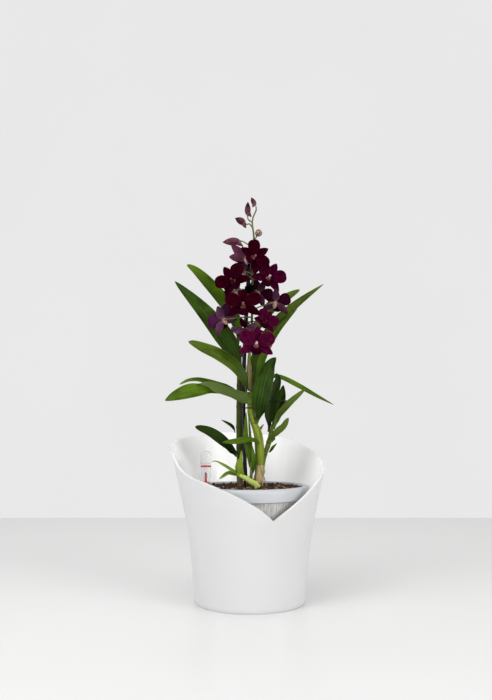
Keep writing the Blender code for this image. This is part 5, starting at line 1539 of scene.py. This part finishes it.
def column_and_neck(shape, centre, frame, size):
    """Add the column with its cap, the chin and the neck."""
    _, top, out = frame
    _, end = bloom_neck(centre, frame, size)
    tip = centre + out * 5.2 * size + top * 0.7 * size
    rise = [(*(centre - out * 0.8 * size), 1.9 * size), (*(centre + out * 1.4 * size), 1.75 * size),
            (*(centre + out * 3.4 * size + top * 0.5 * size), 1.35 * size), (*tip, 1.05 * size)]
    shape.tube(smooth_route(rise, 8), 14, 2)
    cap = [(*(tip - out * 0.9), 0.9 * size), (*(tip - out * 0.4), 1.35 * size),
           (*(tip + out * 0.3), 1.3 * size), (*(tip + out * 0.8), 0.8 * size),
           (*(tip + out * 1.0), 0.2)]
    shape.tube(smooth_route(cap, 8), 12, 2)
    chin = centre - top * 6.4 * size - out * 3.6 * size
    spur = [(*(centre - top * 0.4), 3.3 * size),
            (*(centre - top * 2.6 * size - out * 1.6 * size), 3.0 * size),
            (*(centre.lerp(chin, 0.8)), 2.1 * size), (*chin, 1.1 * size),
            (*(chin - (out * 0.6 + top * 0.8) * 0.7), 0.25)]
    shape.tube(smooth_route(spur, 12), 16, 3, 2, 0.06)
    neck = [(*end, 0.75), (*(centre.lerp(end, 0.6)), 1.1 * size),
            (*(centre - out * 1.6), 2.6 * size), (*(centre + out * 0.4), 2.9 * size)]
    shape.tube(smooth_route(neck, 10), 14, 3)


# %% [markdown]
# The petals look nearly black: a deep burgundy with darker veins, with a painted highlight along
# the edge.
# Their backs are a dusty purple with pale veins.  The lip is lighter in the throat, peach and
# cream, and dark again on its front lobe.


# %% Bloom finishes
def petal_finish(name, light, dark, back, back_vein):
    """Dull petal with fanned veins, a painted highlight along its edge and a dusty back."""
    finish = Finish(name, Specular_IOR_Level=0.0)
    across, along, below = finish.grain()
    wander = finish.cloud((0.25, 0.25, 0.25))
    fan = finish.plus(finish.times(across, 15.0), finish.times(wander, 3.0))
    vein = finish.times(finish.ridges("COSINE", fan, 8.0), finish.fade(along, 0.6, 1))
    patches = finish.step(wander, 0.35, 0.7)
    # Painted highlight: the front is lighter near its edge, standing in for sheen where light
    # grazes the petal
    edge = finish.step(finish.math("ABSOLUTE", across), 0.8, 1.0)
    front = finish.cover(finish.mix(patches, dark, light), edge, 0.45,
                         tuple(2.6 * c for c in light))
    front = finish.cover(front, vein, 0.6, dark)
    rear = finish.mix(patches, back, tuple(0.72 * c for c in back))
    rear = finish.cover(rear, vein, 0.55, back_vein)
    rear = finish.cover(rear, finish.fade(along, 0.0, 0.35), 0.5, back_vein)
    finish.feed(Base_Color=finish.mix(finish.step(below, 0.3, 0.7), front, rear),
                Roughness=finish.spread(wander, 0.42, 0.6))
    finish.bump(finish.plus(vein, finish.times(wander, 0.6)), 0.4, 0.12)
    return finish


def lip_finish(name, deep, glow):
    """Lip: its throat goes from deep to glow, its front lobe is dark burgundy."""
    finish = Finish(name, Specular_IOR_Level=0.0)
    across, along, below = finish.grain()
    wander = finish.cloud((0.6, 0.6, 0.6))
    throat = finish.mix(finish.step(wander, 0.40, 0.66), deep, glow)
    lobe = finish.mix(finish.step(wander, 0.3, 0.7), (0.007, 0.0003, 0.0024),
                      (0.024, 0.0010, 0.0075))
    lines = finish.ridges("SINE", finish.times(across, 18.0), 4.0)
    throat = finish.cover(throat, lines, 0.45, (0.05, 0.004, 0.008))
    far = finish.plus(along, finish.times(finish.minus(wander, 0.5), 0.25))
    side = finish.step(finish.math("ABSOLUTE", across), 0.45, 0.9)
    colour = finish.mix(finish.step(far, 0.36, 0.52), throat, lobe)
    colour = finish.cover(colour, side, 0.7, (0.016, 0.0008, 0.005))
    colour = finish.cover(colour, finish.step(below, 0.3, 0.7), 0.5, (0.014, 0.001, 0.004))
    finish.feed(Base_Color=colour, Roughness=finish.spread(wander, 0.35, 0.55))
    finish.bump(lines, 0.3, 0.15)
    return finish


def column_finish(name, deep, glow):
    """Column: flecked from deep pink to cream."""
    finish = Finish(name, Specular_IOR_Level=0.15)
    fleck = finish.cloud((0.9, 0.9, 0.9))
    finish.feed(Base_Color=finish.mix(finish.step(fleck, 0.35, 0.62), deep, glow),
                Roughness=finish.spread(fleck, 0.35, 0.5))
    finish.bump(fleck, 0.2, 0.1)
    return finish


# Chin and neck: pink and olive, streaked along
chin_tone = Finish("bloom chin", Specular_IOR_Level=0.12)
streaks = chin_tone.grain_noise((1.1, 1.1, 0.12))
chin_tone.feed(Base_Color=chin_tone.mix(chin_tone.step(streaks, 0.35, 0.68), (0.16, 0.060, 0.065),
                                        (0.40, 0.25, 0.19)),
               Roughness=chin_tone.spread(streaks, 0.4, 0.55))
chin_tone.bump(streaks, 0.25, 0.12)

BURGUNDY = ((0.025, 0.0005, 0.0050), (0.013, 0.0003, 0.0028))
PLUM = ((0.043, 0.0014, 0.0145), (0.020, 0.0006, 0.0065))
MAGENTA = ((0.063, 0.0034, 0.0225), (0.033, 0.0010, 0.011))
# Backs and their veins, from the darkest petals to the palest sepals
DARK_BACK = ((0.022, 0.0012, 0.008), (0.045, 0.006, 0.020))
PURPLE_BACK = ((0.048, 0.007, 0.036), (0.14, 0.055, 0.115))
DUSTY_BACK = ((0.042, 0.008, 0.027), (0.15, 0.065, 0.110))
LILAC_BACK = ((0.075, 0.020, 0.058), (0.22, 0.11, 0.19))
ROSY_BACK = ((0.080, 0.018, 0.044), (0.22, 0.085, 0.125))
PALE_BACK = ((0.105, 0.034, 0.066), (0.23, 0.110, 0.140))
# Tone, front and back of the petals, front and back of the sepals
TONES = [("burgundy", BURGUNDY, DARK_BACK, BURGUNDY, DUSTY_BACK),
         ("plum", PLUM, DARK_BACK, PLUM, DUSTY_BACK),
         ("dusty", BURGUNDY, PURPLE_BACK, PURPLE_BACK, PALE_BACK),
         ("magenta", MAGENTA, PURPLE_BACK, MAGENTA, DUSTY_BACK),
         ("purple", MAGENTA, PURPLE_BACK, MAGENTA, LILAC_BACK),
         ("pale", BURGUNDY, ROSY_BACK, BURGUNDY, ROSY_BACK),
         ("veined", DUSTY_BACK, PALE_BACK, BURGUNDY, DARK_BACK)]
PETAL_TONES = {tone: petal_finish("petal " + tone, *front, *back)
               for tone, front, back, _, _ in TONES}
SEPAL_TONES = {tone: petal_finish("sepal " + tone, *front, *back)
               for tone, _, _, front, back in TONES}
# Deep and glowing colour of the lip, then of the column, for a dim, a warm and a bright throat
THROATS = [(lip_finish(name + " lip", *lip_colours), column_finish(name + " column", *colours))
           for name, lip_colours, colours in (
               ("dim", ((0.030, 0.002, 0.006), (0.085, 0.013, 0.016)),
                ((0.030, 0.003, 0.007), (0.10, 0.022, 0.026))),
               ("warm", ((0.070, 0.010, 0.010), (0.21, 0.065, 0.050)),
                ((0.085, 0.016, 0.020), (0.26, 0.12, 0.11))),
               ("bright", ((0.090, 0.014, 0.018), (0.32, 0.12, 0.10)),
                ((0.20, 0.06, 0.065), (0.72, 0.55, 0.54))))]


# %% Making all blooms
def bloom_piece(name, place, heading, elevation, roll, size, tilt, tone, throat, fullness):
    """One bloom as one piece."""
    rng = random.Random("bloom " + name)
    centre = Vector(place)
    frame_of_face = face_frame(heading, elevation, roll)
    shape = Shape()
    for angle, length, half, extra, petal in sorted(TEPALS, key=lambda row: row[4]):
        narrow = petal and name in POINTED
        tepal(shape, centre, frame_of_face, angle, length * size * (1.12 if narrow else 1),
              half * size * fullness * (0.92 if narrow else 1), tilt + extra,
              petal and not narrow, rng)
    lip(shape, centre, frame_of_face, size)
    column_and_neck(shape, centre, frame_of_face, size)
    finishes = [PETAL_TONES[tone], *THROATS[throat], chin_tone, SEPAL_TONES[tone]]
    make_piece("bloom_" + name + "_flower", shape, [finish.material for finish in finishes],
               ["bloom_" + name], sharp=70)


for name, place, heading, elevation, roll, size, tilt, _, tone, throat, fullness in BLOOMS:
    bloom_piece(name, place, heading, elevation, roll, size, tilt, tone, throat, fullness)
print("blooms:", len(BLOOMS))

# %% [markdown]
# ## Buds and the flower spike
# A bud is a closed bloom: three sepals folded edge to edge over a little spur.  The three shallow
# lobes of its cross section are those sepals.  The spike's stalks run to each bud and bloom.

# %% Bud table
# Name, base, tip, radius, direction of the spur
BUDS = [
    ("tip", (6.4, -2, 453.6), (1.4, -2, 463.3), 2.8, (-0.7, -0.2, -0.7)),
    ("upright", (-2.6, -3.5, 441.4), (-2.4, -3.5, 457.8), 3.4, (0.9, -0.2, -0.7)),
    ("left", (-5.0, -3.5, 432.6), (-17.1, -4, 439), 4.0, (0.3, -0.1, -1.0)),
    ("facing", (8.2, -4.5, 419.2), (11.6, -13.5, 422.6), 4.1, (0.7, 0.3, 0.6)),
    ("level", (-10.5, -5.5, 412.0), (-31.5, -7, 410.6), 4.4, (0.7, 0, -0.75)),
]
BUD_STALKS = [(434.5, (-1.8, -2.8, 437.5), 1), (427.5, (-0.5, -2.8, 432.5), 2),
              (414.5, (6.6, -3.2, 416.5), 3), (403.0, (-2.0, -4, 408.5), 4)]


# %% Buds
def bud_finish(name, dark, light, start_tone, tip_share):
    """Bud with fine pale veins and a darker tip."""
    finish = Finish(name, Specular_IOR_Level=0.03)
    run = finish.grain()[2]
    veins = finish.grain_noise((1.3, 1.3, 0.06), 4.0, 0.65)
    patches = finish.step(finish.cloud((0.2, 0.2, 0.2), 2.0), 0.45, 0.75)
    colour = finish.mix(finish.step(veins, 0.38, 0.66), dark, light)
    colour = finish.cover(colour, patches, 0.5, (0.045, 0.008, 0.020))
    colour = finish.cover(colour, finish.fade(run, 0.0, 4.0), 0.5, start_tone)
    colour = finish.cover(colour, finish.step(run, 6.5, 13.0), tip_share, (0.016, 0.002, 0.006))
    finish.feed(Base_Color=colour, Roughness=finish.spread(veins, 0.4, 0.55))
    finish.bump(veins, 0.35, 0.15)
    return finish


mauve_bud = bud_finish("bud mauve", (0.024, 0.0035, 0.010), (0.15, 0.050, 0.078),
                       (0.30, 0.19, 0.11), 0.85)
rosy_bud = bud_finish("bud rosy", (0.050, 0.010, 0.024), (0.19, 0.068, 0.090),
                      (0.34, 0.18, 0.12), 0.2)
green_bud = bud_finish("bud greenish", (0.075, 0.020, 0.032), (0.46, 0.38, 0.26),
                       (0.36, 0.36, 0.12), 0.0)
BUD_TONES = {"facing": green_bud, "level": rosy_bud}
BUD_STEPS = 22


def bud_piece(name, base, tip, radius, spur):
    """One closed bud with its spur."""
    low = Vector(base)
    high = Vector(tip)
    body = []
    for i in range(BUD_STEPS + 1):
        s = i / BUD_STEPS
        belly = math.sin(math.pi * min(1.0, s * 1.02)**0.82)**0.72 if 0 < s < 0.985 else 0.0
        body.append((*low.lerp(high, s), max(0.25 if s > 0.5 else radius * 0.3, radius * belly)))
    shape = Shape()
    shape.tube(body, 24, 0, 3, 0.055)
    root = low.lerp(high, 0.30)
    point = low.lerp(high, 0.12) + Vector(spur).normalized() * radius * 1.45
    horn = [(*root, radius * 0.7), (*root.lerp(point, 0.6), radius * 0.52), (*point, radius * 0.2),
            (*(point + (point - root).normalized() * 0.4), 0.15)]
    shape.tube(smooth_route(horn, 10), 16)
    make_piece("bud_" + name + "_closed", shape, [BUD_TONES.get(name, mauve_bud).material],
               ["bud_" + name])


for bud in BUDS:
    bud_piece(*bud)
print("buds:", len(BUDS))


# %% Flower spike
def spike_routes():
    """Routes of the spike, the bud stalks and the bloom stalks."""
    routes = [SPIKE]
    for height, middle, index in BUD_STALKS:
        start = cane_at(SPIKE, height)[:3]
        base = Vector(BUDS[index][1])
        into = (Vector(BUDS[index][2]) - base).normalized()
        routes.append([(*start, 0.85), (*middle, 0.72), (*(base - into * 1.6), 0.7),
                       (*(base + into * 0.4), 0.85)])
    for _, place, heading, elevation, roll, size, _, height, *_ in BLOOMS:
        along, end = bloom_neck(Vector(place), face_frame(heading, elevation, roll), size)
        start = Vector(cane_at(SPIKE, height)[:3])
        ahead = end + along * 3.0
        bend = (start + ahead) / 2 + Vector((0, 0, 0.6))
        routes.append([(*start, 0.95), (*bend, 0.72), (*ahead, 0.75), (*(end - along * 0.4), 0.8)])
    return routes


stems("flower_spike_stalks", spike_routes(), stalk, ["flower_spike"], 48, 14)
print("spike: 1 stem and", len(BUDS) - 1 + len(BLOOMS), "stalks")

# %% [markdown]
# ## Bark medium
# The orchid grows in bark: dark crumbs with lighter chips, a few white grains and thin roots.  The
# bed is a lumpy disc, and Geometry Nodes scatter chips over it.  Every chip is the same small
# block until it is stretched, turned and crumpled by noise.

# %% The bed
SOIL_TOP = 130.0
SOIL_BOTTOM = 34.8
SOIL_RADIUS = 60.6
BED_RINGS = 44
BED_SEGMENTS = 120


def bed_height(x, y):
    """Height of the lumpy surface."""
    spot = Vector((x, y, 0))
    lumps = noise.fractal(spot * 0.13, 1.0, 2.1, 4)
    crumbs = noise.fractal(spot * 0.55 + Vector((9, 3, 1)), 1.0, 2.2, 3)
    return SOIL_TOP + 1.0 * lumps + 0.55 * crumbs


def circle(reach, count):
    """Points round a level circle."""
    turns = [math.tau * k / count for k in range(count)]
    return [(reach * math.cos(t), reach * math.sin(t)) for t in turns]


bark = Finish("bark brown", Specular_IOR_Level=0.3)
coarse = bark.cloud((0.35, 0.35, 0.35), 5.0, 0.7)
crumb = bark.cloud((1.5, 1.5, 1.5), 4.0, 0.7)
tone = bark.mix(bark.step(coarse, 0.38, 0.62), (0.010, 0.006, 0.004), (0.060, 0.026, 0.012))
bark.feed(Base_Color=bark.cover(tone, bark.step(crumb, 0.55, 0.75), 0.7, (0.17, 0.08, 0.035)),
          Roughness=bark.spread(crumb, 0.75, 0.95))
bark.bump(bark.plus(coarse, crumb), 0.9, 0.8)

bed = Shape()
rings = []
grains = []
for i in range(1, BED_RINGS + 1):
    row = circle(SOIL_RADIUS * i / BED_RINGS, BED_SEGMENTS)
    rings.append([Vector((x, y, bed_height(x, y))) for x, y in row])
    grains.append([(x, y, 0.0) for x, y in row])
wall = [Vector((p.x * 0.999, p.y * 0.999, SOIL_BOTTOM)) for p in rings[-1]]
rings.append([p * 0.955 + Vector((0, 0, p.z * 0.045)) for p in wall])
grains.append(grains[-1])
numbers = bed.rows(rings[::-1], grains[::-1])
bed.skin(numbers, closed=True)
bed.face(numbers[-1])
bed.face(reversed(numbers[0]))
make_piece("bark_bed", bed, [bark.material], ["bark_medium"])
print("bark bed:", len(bed.faces), "faces")


# %% Scatter chips
def chip_tree():
    """Scatter stretched, turned and crumpled blocks over a surface."""
    tree = Tree("bark chips", [("Density", "NodeSocketFloat", 60000.0),
                               ("Smallest", "NodeSocketFloat", 0.5),
                               ("Largest", "NodeSocketFloat", 1.6),
                               ("Seed", "NodeSocketInt", 4),
                               ("Finish", "NodeSocketMaterial", None)])
    points = tree.node("GeometryNodeDistributePointsOnFaces", {
        "Mesh": tree.inputs["Geometry"], "Density": tree.inputs["Density"],
        "Seed": tree.inputs["Seed"]})
    tint = tree.node("FunctionNodeRandomValue", {"Min": (0, 0, 0), "Max": (1, 1, 1),
                                                 "Seed": tree.inputs["Seed"]},
                     data_type="FLOAT_VECTOR")
    marked = tree.store(points, "grain", tint)
    block = tree.node("GeometryNodeMeshCube", {"Size": (5.4 * MM, 2.0 * MM, 1.1 * MM),
                                               "Vertices X": 4, "Vertices Y": 3,
                                               "Vertices Z": 2})
    turn = tree.node("FunctionNodeRandomValue", {"Min": (-0.5, -0.45, 0),
                                                 "Max": (0.5, 0.45, math.tau),
                                                 "Seed": 12}, data_type="FLOAT_VECTOR")
    size = tree.node("FunctionNodeRandomValue", {2: tree.inputs["Smallest"],
                                                 3: tree.inputs["Largest"], "Seed": 13}, 1,
                     data_type="FLOAT")
    chips = tree.node("GeometryNodeInstanceOnPoints", {"Points": marked, "Instance": block,
                                                       "Rotation": turn, "Scale": size})
    real = tree.node("GeometryNodeRealizeInstances", {"Geometry": chips})
    rough = tree.node("ShaderNodeTexNoise", {"Scale": 420.0, "Detail": 3.0}, 1)
    centred = tree.node("ShaderNodeVectorMath", {0: rough, 1: (0.5, 0.5, 0.5)},
                        operation="SUBTRACT")
    push = tree.node("ShaderNodeVectorMath", {0: centred, "Scale": 2.6 * MM}, operation="SCALE")
    crumpled = tree.node("GeometryNodeSetPosition", {"Geometry": real, "Offset": push})
    tree.end(crumpled, tree.inputs["Finish"])
    return tree


chip_tone = Finish("bark chip", Specular_IOR_Level=0.3)
pick = chip_tone.grain()
fibre = chip_tone.cloud((0.9, 0.9, 0.9), 4.0, 0.7)
shade = chip_tone.mix(chip_tone.step(pick[0], 0.45, 1.0), (0.007, 0.0036, 0.002),
                      (0.095, 0.038, 0.013))
shade = chip_tone.mix(chip_tone.step(pick[1], 0.83, 0.90), shade, (0.38, 0.20, 0.075))
shade = chip_tone.mix(chip_tone.step(pick[2], 0.955, 0.965), shade, (0.62, 0.56, 0.46))
chip_tone.feed(Base_Color=chip_tone.mix(chip_tone.step(fibre, 0.35, 0.7), shade,
                                        (0.045, 0.022, 0.012)),
               Roughness=chip_tone.spread(fibre, 0.7, 0.95))
chip_tone.bump(fibre, 0.7, 0.4)


CHIP_LIFT = 0.2
GROUND_RINGS = 24
GROUND_SEGMENTS = 60


def chip_ground(reach):
    """A copy of the bed's open surface inside a radius, as the ground for the chips."""
    shape = Shape()
    rings = [[Vector((x, y, bed_height(x, y) + CHIP_LIFT))
              for x, y in circle(reach * i / GROUND_RINGS, GROUND_SEGMENTS)]
             for i in range(1, GROUND_RINGS + 1)]
    numbers = shape.rows(rings, [[(0, 0, 0)] * GROUND_SEGMENTS] * GROUND_RINGS)
    shape.skin(numbers, closed=True)
    mesh = bpy.data.meshes.new("chip_ground")
    mesh.from_pydata([tuple(p * MM) for p in shape.points], [], shape.faces)
    mesh.flip_normals()
    return mesh


chips = grow("bark_chips", chip_ground(SOIL_RADIUS - 4), chip_tree(),
             {"Finish": chip_tone.material})
register(chips, [])
print("chips:", len(chips.data.polygons) // 22)

# %% [markdown]
# ## Papery sheaths and thin roots
# Old sheaths dry to straw-coloured paper round the foot of a cane and tear into shreds.  Thin
# roots arch out of the stems and dive into the bark.  Both are too thin to be solid parts.


# %% Papery sheaths
def paper_finish(name, pale, brown):
    """Dry straw with long fibres."""
    finish = Finish(name, Specular_IOR_Level=0.15)
    fibres = finish.grain_noise((9.0, 1.2, 0.0), 4.0, 0.7)
    finish.feed(Base_Color=finish.mix(finish.step(fibres, 0.36, 0.62), brown, pale),
                Roughness=finish.spread(fibres, 0.55, 0.8))
    finish.bump(fibres, 0.6, 0.25)
    return finish


straw = paper_finish("straw sheath", (0.50, 0.43, 0.22), (0.24, 0.17, 0.065))
husk = paper_finish("brown husk", (0.20, 0.17, 0.07), (0.075, 0.055, 0.018))


SHEATH_ROWS = 16
SHEATH_COLUMNS = 40
PAPER_DEPTH = 0.11
SHREDS = 5


def sheath(name, route, low, high, gap, finish, slot, seed, flare=0.3, open_at=200):
    """A torn paper sleeve round a stem between two heights."""
    rng = random.Random(seed)
    cells = []
    for i in range(SHEATH_ROWS + 1):
        share = i / SHEATH_ROWS
        row = []
        for k in range(SHEATH_COLUMNS + 1):
            turn = math.radians(open_at + 20 + 320 * k / SHEATH_COLUMNS)
            tear = noise.noise(Vector((math.cos(turn) * 2.2, math.sin(turn) * 2.2, seed)))
            top = high + 3.2 * tear + 1.5 * noise.noise(Vector((k * 0.9, seed, 0.0)))
            x, y, z, radius = cane_at(route, low + (top - low) * share)
            waver = noise.noise(Vector((k * 0.45, share * 3, seed)))
            away = level_direction(turn)
            spot = Vector((x, y, z)) + away * (
                radius + (gap + flare * share * share + 0.35 * waver))
            row.append((spot + away * PAPER_DEPTH, spot - away * PAPER_DEPTH,
                        (k / SHEATH_COLUMNS * 4, share * 3)))
        cells.append(row[::-1])
    shape = Shape()
    shape.blade(cells)
    for _ in range(SHREDS):
        turn = math.radians(rng.uniform(-70, 60))
        x, y, z, radius = cane_at(route, rng.uniform(low + 2, high - 4))
        away = level_direction(turn)
        start = Vector((x, y, z)) + away * (radius + gap)
        bend = start + away * rng.uniform(0.6, 1.4) + Vector((0, 0, rng.uniform(2, 4)))
        tip = bend + away * rng.uniform(0.2, 1.4) + Vector((0, 0, rng.uniform(2.0, 4.5)))
        leaf_sheet(shape, smooth_route([tuple(start), tuple(bend), tuple(tip)], 8), [away] * 8,
                   [0.55, 0.6, 0.55, 0.5, 0.4, 0.3, 0.2, 0.12], [0.2] * 8, seed, 4, 0.3)
    make_piece(name, shape, [finish.material], [], sharp=80)


# Name, stem, lowest and highest point, gap to the stem, finish, slot and seed, and for the last
# one how far it flares and where it is open
SHEATHS = [("sheath_foot", FRONT_CANE, 131.5, 156.0, 0.2, straw, "cane_ripe", 3),
           ("sheath_right_foot", RIGHT_CANE, 131.5, 150.0, 0.35, straw, "cane_ripe", 5),
           ("sheath_rear_foot", REAR_CANE, 131.5, 158.0, 0.3, husk, "cane_dark", 8),
           ("sheath_spike", SPIKE, 243.0, 270.0, 0.25, husk, "spike", 11, 0.25, 120)]
for row in SHEATHS:
    sheath(*row)

# %% Thin roots
root_tone = cane_finish("root brown", (0.30, 0.20, 0.10), (0.060, 0.030, 0.012), mottle=0.3)
rng = random.Random(21)
root_routes = []
for x, y, spread in [(8.2, -2, 8)] * 8 + [(-4.8, 0, 6)] * 5 + [(12, 9, 5)] * 3:
    turn = rng.uniform(-2.9, 0.4)
    out = level_direction(turn)
    start = Vector((x, y, rng.uniform(132, 140))) + out * 2.6
    far = start + out * rng.uniform(3, spread)
    rise = rng.uniform(1.5, 6.5)
    root_routes.append([(*start, 0.42), (*(start.lerp(far, 0.4) + Vector((0, 0, rise))), 0.45),
                        (far.x, far.y, 132.5, 0.4), (far.x + out.x, far.y + out.y, 128, 0.3)])
stems("thin_roots", root_routes, root_tone, [], 26, 8)
print("sheaths:", len(SHEATHS), "roots:", len(root_routes))
